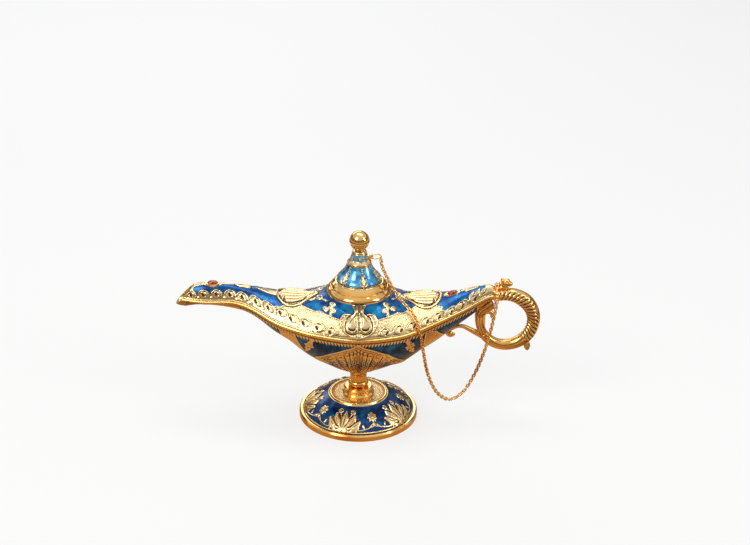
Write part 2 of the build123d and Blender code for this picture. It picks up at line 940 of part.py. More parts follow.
def build_part():
    hollow = cavity()
    outer_up = upper_outer()
    outer_low = lower_outer()
    skin = loft([upper_section(row, -palmette_relief) for row in body_stations()])
    skin = skin + neck_solid(palmette_relief) - outer_up - neck_solid()
    gems = {"spout": spout_gem_inset - spout_reach, "tail": tail_reach - tail_gem_inset}
    seats = [gem_bezel(station, overrun) for station in gems.values()]
    rivet_hole = rivet_solid(rivet_radius + rivet_clearance)
    shell = upper_shell(outer_up, hollow, seats + [rivet_hole])
    hull = lower_hull(outer_low, hollow) - rivet_hole
    crown = lid_crown()
    ferrule = handle_ferrule() - rivet_hole
    grip = handle_grip()
    strut = handle_strut(ferrule, outer_low)
    parts = {
        "foot_plate": foot_plate(),
        "foot_enamel": foot_enamel(),
        "foot_washer": foot_washer(),
        "stem_bell": stem_bell(),
        "stem_column": stem_column(),
        "stem_bolt": stem_bolt(),
        "hull_washer": hull_washer(),
        "hull_nut": hull_nut(),
        "lower_hull": hull,
        "upper_shell": shell,
        "seam_bead": seam_bead(outer_up, outer_low),
        "neck_collar": neck_collar(),
        "palmette_front": palmette_on_side(-1, skin),
        "palmette_back": palmette_on_side(1, skin),
        "palmette_spout": palmette_on_ridge(-1, skin),
        "palmette_tail": palmette_on_ridge(1, skin),
        "lid_rim": lid_rim(),
        "lid_spigot": lid_spigot(),
        "lid_cone": lid_cone(),
        "lid_enamel": lid_enamel(),
        "lid_crown": crown,
        "lid_eye": lid_eye(crown),
        "lid_ring": lid_ring(),
        "finial_seat": finial_seat(),
        "finial_ball": finial_ball(),
        "finial_stud": finial_stud(),
        "handle_ferrule": ferrule,
        "handle_rivet": handle_rivet(),
        "handle_grip": grip - rivet_hole,
        "handle_strut": strut,
        "handle_tendril": handle_tendril([grip, strut, outer_low]),
        "strut_curl": strut_curl(strut, ferrule),
        "handle_head": handle_head() - grip,
        "handle_tassel": handle_tassel() - grip,
        "chain_on_lid": links_on(route(chain_on_lid)),
        "chain_hanging": links_on(route(chain_hanging)),
        "chain_neck_loop": links_on(neck_loop_path(), closed=True),
    }
    for name, station in gems.items():
        parts[f"{name}_bezel"] = gem_bezel(station)
        parts[f"{name}_gem"] = gem(station)
    return parts


def write_parts(parts):
    os.makedirs("parts", exist_ok=True)
    for name, shape in parts.items():
        export_step(shape, f"parts/{name}.step")
        print(name, round(shape.volume, 1))


write_parts(build_part())
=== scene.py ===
import math

import bmesh
import bpy
import numpy as np
from mathutils import Matrix, Vector
from mathutils.bvhtree import BVHTree


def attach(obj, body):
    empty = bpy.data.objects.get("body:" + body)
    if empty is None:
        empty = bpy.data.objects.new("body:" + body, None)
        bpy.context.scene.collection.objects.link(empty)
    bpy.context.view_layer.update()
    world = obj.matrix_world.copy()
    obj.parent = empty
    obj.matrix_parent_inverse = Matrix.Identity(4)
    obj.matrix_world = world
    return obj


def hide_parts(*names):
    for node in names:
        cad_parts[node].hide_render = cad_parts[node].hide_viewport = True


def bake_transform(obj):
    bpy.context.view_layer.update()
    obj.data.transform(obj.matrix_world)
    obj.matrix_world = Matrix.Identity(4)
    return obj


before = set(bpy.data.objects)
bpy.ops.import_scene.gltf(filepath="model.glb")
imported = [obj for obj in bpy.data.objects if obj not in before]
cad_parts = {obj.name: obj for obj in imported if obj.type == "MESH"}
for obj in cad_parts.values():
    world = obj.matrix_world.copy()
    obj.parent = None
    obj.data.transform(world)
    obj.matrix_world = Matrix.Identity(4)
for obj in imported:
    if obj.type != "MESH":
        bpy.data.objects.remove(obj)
bpy.context.view_layer.update()
bpy.ops.object.select_all(action="DESELECT")
mm = 0.001

# camera: mm, degrees, and pixels of the picture
view = {
    "distance": 1100.0, "elevation": 27.2, "roll": 0.45, "lookAt": (0, 0, 60.0), "lens": 93.45,
    "sensor": 36.0, "pictureWidth": 750.0, "pictureHeight": 545.0, "lookAtAcross": 358.87,
    "lookAtDown": 319.71, "clipEnd": 20,
}


def cameraAxes():
    tilt, roll = math.radians(view["elevation"]), math.radians(view["roll"])
    back = np.array((0, -math.cos(tilt), math.sin(tilt)))
    up = np.array((0, math.sin(tilt), math.cos(tilt)))
    side = np.array((1.0, 0, 0))
    return side * math.cos(roll) + up * math.sin(roll), up * math.cos(roll) - side * math.sin(roll), back


def placeCamera():
    side, up, back = cameraAxes()
    eye = np.array(view["lookAt"]) + back * view["distance"]
    bpy.ops.object.camera_add()
    camera = bpy.context.object
    turn = Matrix((side, up, back)).transposed().to_4x4()
    camera.matrix_world = Matrix.Translation(Vector(eye * mm)) @ turn
    camera.data.lens = view["lens"]
    camera.data.sensor_width = view["sensor"]
    camera.data.shift_x = (view["pictureWidth"] / 2 - view["lookAtAcross"]) / view["pictureWidth"]
    camera.data.shift_y = (view["lookAtDown"] - view["pictureHeight"] / 2) / view["pictureWidth"]
    camera.data.clip_end = view["clipEnd"]
    bpy.context.scene.camera = camera


def inPicture(points):
    side, up, back = cameraAxes()
    away = points - (np.array(view["lookAt"]) + back * view["distance"])
    focal = view["lens"] / view["sensor"] * view["pictureWidth"] / -(away @ back)
    return np.stack((view["lookAtAcross"] + away @ side * focal, view["lookAtDown"] - away @ up * focal), -1)


placeCamera()

# light and floor
studio = {
    "floorSize": 6.0, "floorColour": (0.88, 0.88, 0.88), "floorWhite": 0.70, "ambient": 0.40,
    # what the gilt sees of the floor, by distance from the foot in metres
    "warmFrom": 0.02, "warmTo": 0.42,
    "floorTones": ((0.0, (0.46, 0.25, 0.10)), (0.15, (0.66, 0.38, 0.17)), (0.27, (0.15, 0.07, 0.028)),
                   (0.37, (0.92, 0.78, 0.58)), (0.46, (0.72, 0.55, 0.38)), (0.58, (0.16, 0.085, 0.035)),
                   (0.80, (0.10, 0.055, 0.028)), (1.0, (0.55, 0.44, 0.34))),
    # what it sees of the room, by height
    "skyFrom": -0.1, "skyTo": 0.9,
    "skyTones": ((0.0, (0.42, 0.33, 0.26)), (0.10, (0.05, 0.033, 0.02)), (0.30, (0.34, 0.29, 0.24)),
                 (0.45, (0.06, 0.042, 0.028)), (0.57, (0.95, 0.95, 0.95)), (0.70, (0.52, 0.51, 0.51)),
                 (0.95, (0.80, 0.81, 0.84))),
    # place, size across, size down, watts, colour
    "lamps": {
        "keyLamp": ((-0.55, -0.60, 0.75), 0.45, 0.45, 3.9, (1.0, 0.985, 0.96)),
        "sideLamp": ((0.80, -0.35, 0.50), 0.25, 0.60, 1.9, (1.0, 0.99, 0.97)),
        "topLamp": ((0.05, 0.15, 0.95), 0.70, 0.35, 2.6, (1.0, 1.0, 1.0)),
        "backLamp": ((-0.25, 0.85, 0.45), 0.8, 0.35, 1.6, (0.97, 0.985, 1.0)),
    },
    "lampsFace": (0, 0, 0.05),
}


def node(tree, kind, inputs=None, **settings):
    made = tree.nodes.new(kind)
    for key, value in settings.items():
        setattr(made, key, value)
    for key, value in (inputs or {}).items():
        if isinstance(value, bpy.types.NodeSocket):
            tree.links.new(value, made.inputs[key])
        else:
            made.inputs[key].default_value = value
    return made


def math2(tree, operation, first, second=0.0):
    return node(tree, "ShaderNodeMath", {0: first, 1: second}, operation=operation).outputs[0]


def mixColour(tree, factor, first, second):
    made = node(tree, "ShaderNodeMix", data_type="RGBA")
    for index, value in ((0, factor), (6, first), (7, second)):
        if isinstance(value, bpy.types.NodeSocket):
            tree.links.new(value, made.inputs[index])
        else:
            made.inputs[index].default_value = (*value, 1.0)
    return made.outputs[2]


def mixShader(tree, factor, first, second):
    return node(tree, "ShaderNodeMixShader", {0: factor, 1: first, 2: second}).outputs[0]


def glow(tree, kind, colour, strength=1.0):
    return node(tree, kind, {0: colour, 1: strength}).outputs[0]


def ramp(tree, factor, stops):
    made = node(tree, "ShaderNodeValToRGB", {0: factor})
    points = made.color_ramp.elements
    while len(points) < len(stops):
        points.new(0.5)
    for point, (at, colour) in zip(points, stops):
        point.position = at
        point.color = (*colour, 1.0)
    return made.outputs[0]


def spread(tree, value, low, high, outLow, outHigh):
    return node(tree, "ShaderNodeMapRange", {0: value, 1: low, 2: high, 3: outLow, 4: outHigh}).outputs[0]


def emptyTree(owner):
    owner.use_nodes = True
    owner.node_tree.nodes.clear()
    return owner.node_tree, node(owner.node_tree, "ShaderNodeLightPath").outputs


def setSky():
    world = bpy.data.worlds.new("studio")
    bpy.context.scene.world = world
    tree, rays = emptyTree(world)
    toward = node(tree, "ShaderNodeTexCoord").outputs["Generated"]
    height = node(tree, "ShaderNodeSeparateXYZ", {0: toward}).outputs[2]
    height = spread(tree, height, studio["skyFrom"], studio["skyTo"], 0, 1)
    shine = glow(tree, "ShaderNodeBackground", ramp(tree, height, studio["skyTones"]))
    spill = glow(tree, "ShaderNodeBackground", (1, 1, 1, 1), studio["ambient"])
    white = glow(tree, "ShaderNodeBackground", (1, 1, 1, 1))
    lit = mixShader(tree, rays["Is Glossy Ray"], spill, shine)
    node(tree, "ShaderNodeOutputWorld", {0: mixShader(tree, rays["Is Camera Ray"], lit, white)})


def hangLamps():
    for name, (place, across, down, watts, colour) in studio["lamps"].items():
        bpy.ops.object.light_add(type="AREA", location=place)
        lamp = bpy.context.object
        lamp.name = name
        lamp.data.shape = "RECTANGLE"
        lamp.data.size, lamp.data.size_y = across, down
        lamp.data.energy, lamp.data.color = watts, colour
        toward = Vector(studio["lampsFace"]) - Vector(place)
        lamp.rotation_euler = toward.to_track_quat("-Z", "Y").to_euler()


def layFloor():
    bpy.ops.mesh.primitive_plane_add(size=studio["floorSize"])
    floor = bpy.context.object
    floor.name = "floor"
    paint = bpy.data.materials.new("floorPaint")
    tree, rays = emptyTree(paint)
    matt = node(tree, "ShaderNodeBsdfDiffuse", {0: (*studio["floorColour"], 1)}).outputs[0]
    white = glow(tree, "ShaderNodeEmission", (1, 1, 1, 1))
    both = mixShader(tree, math2(tree, "MULTIPLY", rays["Is Camera Ray"], studio["floorWhite"]), matt, white)
    place = node(tree, "ShaderNodeTexCoord").outputs["Object"]
    away = node(tree, "ShaderNodeVectorMath", {0: place}, operation="LENGTH").outputs["Value"]
    away = spread(tree, away, studio["warmFrom"], studio["warmTo"], 0, 1)
    warm = glow(tree, "ShaderNodeEmission", ramp(tree, away, studio["floorTones"]))
    node(tree, "ShaderNodeOutputMaterial", {0: mixShader(tree, rays["Is Glossy Ray"], both, warm)})
    floor.data.materials.append(paint)


setSky()
hangLamps()
layFloor()
bpy.context.scene.view_settings.view_transform = "Standard"
print("camera and studio set")

# finishes
gilt = {
    "cream": (0.86, 0.68, 0.36), "pale": (0.98, 0.74, 0.36), "warm": (0.93, 0.54, 0.16),
    # the near-black tone on this row is painted shade for hollows and shaded grooves
    "deep": (0.66, 0.28, 0.055), "paintedShade": (0.10, 0.032, 0.007), "edge": (0.002, 0.004, 0.012),
    "cloud": 38, "scratch": 900, "coat": 0.22, "coatRough": 0.06,
}
enamels = {
    # deep, middle, light, share of metal that shines through, gloss of the glaze
    "shellBlue": ((0.003, 0.034, 0.14), (0.006, 0.11, 0.36), (0.015, 0.27, 0.54), 0.26, 0.35),
    "hullBlue": ((0.001, 0.008, 0.018), (0.003, 0.032, 0.075), (0.008, 0.12, 0.20), 0.32, 0.5),
    "footBlue": ((0.003, 0.016, 0.075), (0.007, 0.05, 0.21), (0.02, 0.19, 0.33), 0.40, 0.5),
    # the lid's near-white light tone is partly its paler enamel and partly a painted highlight, laid in
    # random patches
    "lidBlue": ((0.010, 0.09, 0.30), (0.06, 0.40, 0.76), (0.45, 0.88, 0.98), 0.50, 1.5),
}
carving = {"cloud": 45, "fine": 1400, "patch": 150, "punch": 1500.0, "glazeRough": 0.75}


def newFinish(name):
    made = bpy.data.materials.new(name)
    made.use_nodes = True
    tree = made.node_tree
    place = node(tree, "ShaderNodeTexCoord").outputs["Object"]
    return made, tree, tree.nodes["Principled BSDF"].inputs, place


def noise(tree, place, scale, detail=3.0, roughness=0.5):
    inputs = {"Vector": place, "Scale": scale, "Detail": detail, "Roughness": roughness}
    return node(tree, "ShaderNodeTexNoise", inputs).outputs["Fac"]


def bumped(tree, height, strength, distance):
    inputs = {"Height": height, "Strength": strength, "Distance": distance}
    return node(tree, "ShaderNodeBump", inputs).outputs[0]


def polishedGold(name, low=0.07, high=0.20, warm=0.5):
    made, tree, shader, place = newFinish(name)
    cloud = noise(tree, place, gilt["cloud"], 4)
    stops = ((0.30, gilt["deep"]), (0.45, gilt["warm"]), (0.45 + 0.4 * warm, gilt["pale"]))
    scratch = noise(tree, place, gilt["scratch"], 5, 0.7)
    worn = math2(tree, "ADD", cloud, math2(tree, "MULTIPLY", scratch, 0.5))
    tree.links.new(ramp(tree, cloud, stops), shader["Base Color"])
    shader["Metallic"].default_value = 1.0
    tree.links.new(spread(tree, worn, 0.45, 1.05, low, high), shader["Roughness"])
    tree.links.new(bumped(tree, scratch, 0.05, 0.0003), shader["Normal"])
    return made


def carvedFinish(name, enamel, tones=("warm", "pale", "pale"), rough=(0.14, 0.30), bare=1.0):
    # the relief's own attributes say where metal, hollows, crests and stippling are
    deep, middle, light, share, gloss = enamels[enamel]
    made, tree, shader, place = newFinish(name)
    metal, cavity, crest, grain = (node(tree, "ShaderNodeAttribute", attribute_name=word).outputs["Fac"]
                                   for word in ("metal", "cavity", "crest", "grain"))
    cloud, fine = noise(tree, place, carving["cloud"], 4), noise(tree, place, carving["fine"], 3)
    gold = ramp(tree, cloud, [(0.32, gilt[tones[0]]), (0.60, gilt[tones[1]])])
    # painted highlight: raised crests turn paler
    gold = mixColour(tree, crest, gold, gilt[tones[2]])
    # painted shade: hollows and shaded grooves darken toward near black
    gold = mixColour(tree, spread(tree, cavity, 0.12, 0.85, 0, 1), gold, gilt["paintedShade"])
    patch = noise(tree, place, carving["patch"], 4, 0.6)
    blue = ramp(tree, patch, [(0.34, deep), (0.50, middle), (0.68, light)])
    blue = mixColour(tree, spread(tree, metal, 0.12, 0.44, 0, 0.75), blue, gilt["edge"])
    over = spread(tree, metal, 0.46, 0.54, 0, 1)
    roughness = math2(tree, "MULTIPLY", spread(tree, fine, 0.3, 0.7, *rough),
                      spread(tree, over, 0, 1, carving["glazeRough"], 1.0))
    inputs = {"Vector": place, "Scale": carving["punch"]}
    dots = node(tree, "ShaderNodeTexVoronoi", inputs).outputs["Distance"]
    rise = math2(tree, "MULTIPLY", math2(tree, "MULTIPLY", dots, grain), -1.0)
    rise = math2(tree, "ADD", rise, math2(tree, "MULTIPLY", fine, 0.10))
    tree.links.new(mixColour(tree, over, blue, gold), shader["Base Color"])
    tree.links.new(spread(tree, over, 0, 1, share, bare), shader["Metallic"])
    tree.links.new(roughness, shader["Roughness"])
    tree.links.new(spread(tree, over, 0, 1, gilt["coat"] * gloss, gilt["coat"]), shader["Coat Weight"])
    tree.links.new(spread(tree, over, 0, 1, min(0.5 * gloss, 0.8), 0.5), shader["Specular IOR Level"])
    shader["Coat Roughness"].default_value = gilt["coatRough"]
    tree.links.new(bumped(tree, rise, 0.55, 0.0004), shader["Normal"])
    return made


def cloudyFinish(name, scale, detail, dark, bright, rough, constants):
    made, tree, shader, place = newFinish(name)
    cloud = noise(tree, place, scale, detail)
    tree.links.new(ramp(tree, cloud, [(0.3, dark), (0.7, bright)]), shader["Base Color"])
    tree.links.new(spread(tree, cloud, 0.3, 0.7, *rough), shader["Roughness"])
    for socket, value in constants.items():
        shader[socket].default_value = value
    return made


finish = {
    "polish": polishedGold("polishedGilt"),
    "satin": polishedGold("satinGilt", 0.18, 0.34, 0.35),
    "bright": polishedGold("brightGilt", 0.03, 0.09, 0.75),
    "wire": polishedGold("chainGilt", 0.12, 0.26, 0.25),
    "amber": polishedGold("amberGilt", 0.12, 0.26, 0.95),
    "shell": carvedFinish("carvedShell", "shellBlue", ("pale", "cream", "cream")),
    "hull": carvedFinish("carvedHull", "hullBlue", ("deep", "warm", "pale"), (0.18, 0.34), 0.86),
    "bars": carvedFinish("carvedBars", "hullBlue", ("deep", "warm", "pale"), (0.12, 0.24)),
    "foot": carvedFinish("carvedFoot", "footBlue"),
    "lid": carvedFinish("carvedLid", "lidBlue"),
    "gem": cloudyFinish("redGlass", 320, 3, (0.16, 0.002, 0.008), (0.62, 0.012, 0.03), (0.03, 0.08),
                        {"Transmission Weight": 0.35, "IOR": 1.62, "Coat Weight": 0.6}),
    "steel": cloudyFinish("boltSteel", 260, 4, (0.32, 0.31, 0.30), (0.58, 0.57, 0.55), (0.28, 0.45),
                          {"Metallic": 1.0}),
}
looks = {  # every other node is polished
    "gem": ("spout_gem", "tail_gem"),
    "steel": ("stem_bolt", "foot_washer", "hull_washer", "hull_nut", "finial_stud", "handle_rivet"),
    "wire": ("chain_on_lid", "chain_hanging", "chain_neck_loop", "lid_ring"),
    "amber": ("seam_bead", "stem_bell", "stem_column", "handle_ferrule", "handle_tendril", "strut_curl"),
    "satin": ("upper_shell", "lower_hull", "lid_spigot"),
    "bright": ("finial_ball", "finial_seat", "lid_rim", "neck_collar"),
}
for name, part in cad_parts.items():
    chosen = next((look for look, names in looks.items() if name in names), "polish")
    part.data.materials.clear()
    part.data.materials.append(finish[chosen])
print("finishes made")

# carving kit: a relief is a grid with two coordinates in mm and what is cut into it


def newRelief(across, along, ground=-1.0):
    made = {"across": np.ascontiguousarray(across, float), "along": np.ascontiguousarray(along, float)}
    for word in ("height", "grain", "shade"):
        made[word] = np.zeros(across.shape)
    made["metal"] = np.full(across.shape, float(ground))
    return made


def near(relief, line, margin, along="along"):
    line = np.asarray(line, float)
    a, b = relief["across"].reshape(-1), relief[along].reshape(-1)
    low, high = line.min(0) - margin, line.max(0) + margin
    found = np.flatnonzero((a > low[0]) & (a < high[0]) & (b > low[1]) & (b < high[1]))
    places = np.column_stack((a[found], b[found]))
    runs = np.diff(line, axis=0)
    sizes = np.maximum(np.hypot(*runs.T), 1e-9)
    before = np.concatenate(((0,), np.cumsum(sizes)))
    gap, share = np.full(len(found), 1e9), np.zeros(len(found))
    for start, run, size, done in zip(line, runs, sizes, before):
        part = np.clip((places - start) @ run / size**2, 0, 1)
        away = np.hypot(*(places - start - part[:, None] * run).T)
        closer = away < gap
        gap[closer] = away[closer]
        share[closer] = ((done + part * size) / before[-1])[closer]
    return found, gap, share, places


def raiseTo(relief, found, level, metal):
    for word, values in (("height", level), ("metal", metal)):
        flat = relief[word].reshape(-1)
        flat[found] = np.maximum(flat[found], values)


def rounded(relief, line, width, taper, along):
    found, gap, share, _ = near(relief, line, width, along)
    half = np.maximum(width / 2 * np.interp(share, (0, 0.5, 1), taper), 1e-3)
    return found, half - gap, np.clip(1 - (gap / half) ** 2, 0, 1)


def stroke(relief, line, width, height, ground=0.2, taper=(1, 1, 1), along="along"):
    found, inside, fall = rounded(relief, line, width, taper, along)
    raiseTo(relief, found, np.where(fall > 0, ground + height * np.sqrt(fall), 0), inside)


def groove(relief, line, width, depth, shade=0.8, taper=(1, 1, 1), along="along"):
    found, _, fall = rounded(relief, line, width, taper, along)
    relief["height"].reshape(-1)[found] -= depth * fall
    dark = relief["shade"].reshape(-1)
    dark[found] = np.maximum(dark[found], shade * fall)


def edgeGap(relief, outline, margin):
    outline = np.asarray(outline, float)
    found, gap, _, places = near(relief, np.vstack((outline, outline[:1])), margin)
    inside = np.zeros(len(places), bool)
    for (ax, ay), (bx, by) in zip(outline, np.roll(outline, -1, axis=0)):
        if ay != by:
            crosses = (ay > places[:, 1]) != (by > places[:, 1])
            inside ^= crosses & (places[:, 0] < (bx - ax) * (places[:, 1] - ay) / (by - ay) + ax)
    return found, np.where(inside, gap, -gap)


def plate(relief, outline, height, edge=0.5, grain=0.0):
    found, gap = edgeGap(relief, outline, 1.0)
    rise = np.clip(gap / edge, 0, 1)
    raiseTo(relief, found, height * np.sqrt(1 - (1 - rise) ** 2), gap)
    cover = relief["grain"].reshape(-1)
    cover[found] = np.where(gap > 0.2, np.maximum(cover[found], grain), cover[found])


def gild(relief, inside, height, edge):
    # flat gold wherever the given distance inside an edge is above zero
    found = np.flatnonzero(inside.reshape(-1) > -1)
    depth = inside.reshape(-1)[found]
    raiseTo(relief, found, height * np.clip(depth / edge, 0, 1), depth)


def dome(relief, centre, radii, height, ground=0.2, turn=0.0):
    centre = np.asarray(centre, float)
    found, _, _, places = near(relief, (centre, centre + 1e-6), max(radii))
    turn = math.radians(turn)
    off = places - centre
    a = (off[:, 0] * math.cos(turn) + off[:, 1] * math.sin(turn)) / radii[0]
    b = (-off[:, 0] * math.sin(turn) + off[:, 1] * math.cos(turn)) / radii[1]
    size = np.hypot(a, b)
    level = np.where(size < 1, ground + height * np.sqrt(np.clip(1 - size**2, 0, 1)), 0)
    raiseTo(relief, found, level, (1 - size) * min(radii))


def arc(centre, radius, start, end, steps=14):
    turn = np.radians(np.linspace(start, end, steps))
    return np.column_stack((centre[0] + radius * np.cos(turn), centre[1] + radius * np.sin(turn)))


def curl(centre, radius, start, turns, inner=0.25, steps=26):
    part = np.linspace(0, 1, steps)
    turn = np.radians(start + 360 * turns * part)
    reach = radius * (1 - (1 - inner) * part)
    return np.column_stack((centre[0] + reach * np.cos(turn), centre[1] + reach * np.sin(turn)))


def bend(first, second, third, steps=12):
    part = np.linspace(0, 1, steps)[:, None]
    first, second, third = (np.asarray(p, float) for p in (first, second, third))
    return first * (1 - part) ** 2 + second * 2 * part * (1 - part) + third * part**2


def leaf(relief, root, tip, width, height, lean=0.0, ground=0.2, rib=True):
    root, tip = np.asarray(root, float), np.asarray(tip, float)
    side = np.array((-(tip - root)[1], (tip - root)[0]))
    line = bend(root, (root + tip) / 2 + side * lean, tip)
    stroke(relief, line, width, height, ground, (0.45, 1.0, 0.08))
    if rib:
        groove(relief, line[1:-2], width * 0.22, height * 0.45, 0.5, (1, 1, 0.3))


def rosette(relief, centre, radius, petals, height, turn=0.0, ground=0.2):
    centre = np.asarray(centre)
    for index in range(petals):
        angle = math.radians(turn + 360 * index / petals)
        out = np.array((math.cos(angle), math.sin(angle))) * radius
        leaf(relief, centre + out * 0.2, centre + out, radius * 0.72, height, 0, ground, radius > 2.0)
    dome(relief, centre, (radius * 0.32, radius * 0.32), height * 1.2, ground)


def travelled(line):
    # the way along the line up to each of its points
    return np.concatenate(((0,), np.cumsum(np.linalg.norm(np.diff(line, axis=0), axis=1))))


def softened(values, passes):
    for _ in range(passes):
        padded = np.pad(values, 1, mode="edge")
        total = values * 2 + padded[:-2, 1:-1] + padded[2:, 1:-1]
        values = (total + padded[1:-1, :-2] + padded[1:-1, 2:]) / 6
    return values


def eased(values, passes=1):
    values = np.array(values, float)
    for _ in range(passes):
        values[1:-1] = (values[1:-1] * 2 + values[:-2] + values[2:]) / 4
    return values


def settleRelief(relief):
    relief["height"] = softened(relief["height"], 1)
    broad = softened(relief["height"], 8)
    # cavity marks painted shade: recesses below the softened relief, and the grooves' shade
    relief["cavity"] = np.clip(np.maximum((broad - relief["height"]) / 0.10, relief["shade"]), 0, 1)
    # crest marks a painted highlight on relief standing above its softened surroundings
    relief["crest"] = np.clip((relief["height"] - broad) / 0.12, 0, 1)
    relief["metal"] = np.clip(0.5 + relief["metal"] / 0.7, 0, 1)
    return relief


# surfaces read from the loaded frame, all in mm


def nodePoints(name):
    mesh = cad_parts[name].data
    points = np.empty(len(mesh.vertices) * 3)
    mesh.vertices.foreach_get("co", points)
    return points.reshape(-1, 3) / mm


def nodeTree(*names):
    points, faces = [], []
    for name in names:
        start = len(points)
        points += [Vector(p) for p in nodePoints(name)]
        faces += [[start + i for i in face.vertices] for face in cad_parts[name].data.polygons]
    return BVHTree.FromPolygons(points, faces)


body = {
    "from": -98.2, "to": 74.6, "columns": 545, "rows": 118, "rays": 300, "rayLength": 60, "neckLevel": 78.62,
    "neckReach": 26.0, "seamGap": 0.55, "lift": 0.08, "jump": 1.4, "firstRays": 12, "middle": (0, 0, 62.0),
    "seamFrom": -99.0, "seamTo": 75.1, "seamStep": 3.0, "seamReach": 1.3, "easing": 3, "middleReach": 0.6,
}


def seamLevels():
    points = nodePoints("seam_bead")
    marks = np.arange(body["seamFrom"], body["seamTo"], body["seamStep"])
    levels = []
    for mark in marks:
        heights = points[np.abs(points[:, 0] - mark) < body["seamReach"]][:, 2]
        levels.append((heights.min() + heights.max()) / 2)
    return marks, np.array(levels)


def sideSurface(tree, direction):
    # rows of rays turn about the seam's middle, from the seam up to the ridge or down to the keel
    marks, levels = seamLevels()
    columns = np.linspace(body["from"], body["to"], body["columns"])
    far = body["rayLength"]
    grid, reach = [], []
    for x in columns:
        centre = Vector((x, 0, np.interp(x, marks, levels)))
        found = []
        for turn in np.radians(np.linspace(0, 90, body["rays"])):
            out = Vector((0, -math.cos(turn), direction * math.sin(turn)))
            hit = tree.ray_cast(centre + out * far, -out, far)[0]
            missed = hit is None or hit.y > 0.05
            lost = missed or (found and (hit - found[-1]).length > body["jump"])
            if lost and len(found) < body["firstRays"]:  # the first rays can slip through the seam
                found = [] if missed else [hit]
                continue
            if lost or direction > 0 and abs(x) < body["neckReach"] and hit.z > body["neckLevel"]:
                break
            found.append(hit)
        found = np.array(found)
        steps = travelled(found)
        even = np.linspace(0, steps[-1], body["rows"])
        grid.append(np.column_stack([np.interp(even, steps, found[:, axis]) for axis in range(3)]))
        reach.append(max(steps[-1], 0.6))
    grid, reach = np.array(grid), eased(reach, body["easing"])
    for _ in range(body["easing"]):
        grid = eased(eased(grid).swapaxes(0, 1)).swapaxes(0, 1)
    return {"columns": columns, "reach": reach, "grid": grid, "picture": inPicture(grid)}


def reachAt(surface, across):
    return np.interp(across, surface["columns"], surface["reach"])


def onSurface(surface, across, along):
    grid = surface["grid"]
    wide, high = grid.shape[:2]
    place = np.interp(across, surface["columns"], np.arange(wide))
    rise = np.clip(along / reachAt(surface, across), 0, 1) * (high - 1)
    i, j = np.minimum(place.astype(int), wide - 2), np.minimum(rise.astype(int), high - 2)
    f, g = (place - i)[..., None], (rise - j)[..., None]
    low = grid[i, j] * (1 - f) + grid[i + 1, j] * f
    top = grid[i, j + 1] * (1 - f) + grid[i + 1, j + 1] * f
    return low * (1 - g) + top * g


def spot(surface, pixel):
    gaps = np.abs(surface["picture"] - np.array(pixel)).sum(2)
    i, j = np.unravel_index(np.argmin(gaps), gaps.shape)
    return np.array((surface["columns"][i], surface["reach"][i] * j / (body["rows"] - 1)))


def spots(surface, pixels):
    return np.array([spot(surface, pixel) for pixel in pixels])


def unit(vectors):
    return vectors / np.maximum(np.linalg.norm(vectors, axis=2, keepdims=True), 1e-12)


def gridNormals(points, outward):
    normals = unit(np.cross(np.gradient(points, axis=0), np.gradient(points, axis=1)))
    return normals * np.sign((normals * outward).sum(2).mean())


def newPiece(name, points, faces, look):
    mesh = bpy.data.meshes.new(name)
    mesh.from_pydata(points, [], faces)
    piece = bpy.data.objects.new(name, mesh)
    bpy.context.collection.objects.link(piece)
    mesh.materials.append(finish[look])
    return piece, mesh


def cleanMesh(mesh, clean):
    work = bmesh.new()
    work.from_mesh(mesh)
    clean(work)
    work.to_mesh(mesh)
    work.free()
    mesh.polygons.foreach_set("use_smooth", [True] * len(mesh.polygons))
    mesh.update()


def dropLoose(work):
    bmesh.ops.delete(work, geom=[v for v in work.verts if not v.link_faces], context="VERTS")


def facesOut(work):
    bmesh.ops.recalc_face_normals(work, faces=work.faces)


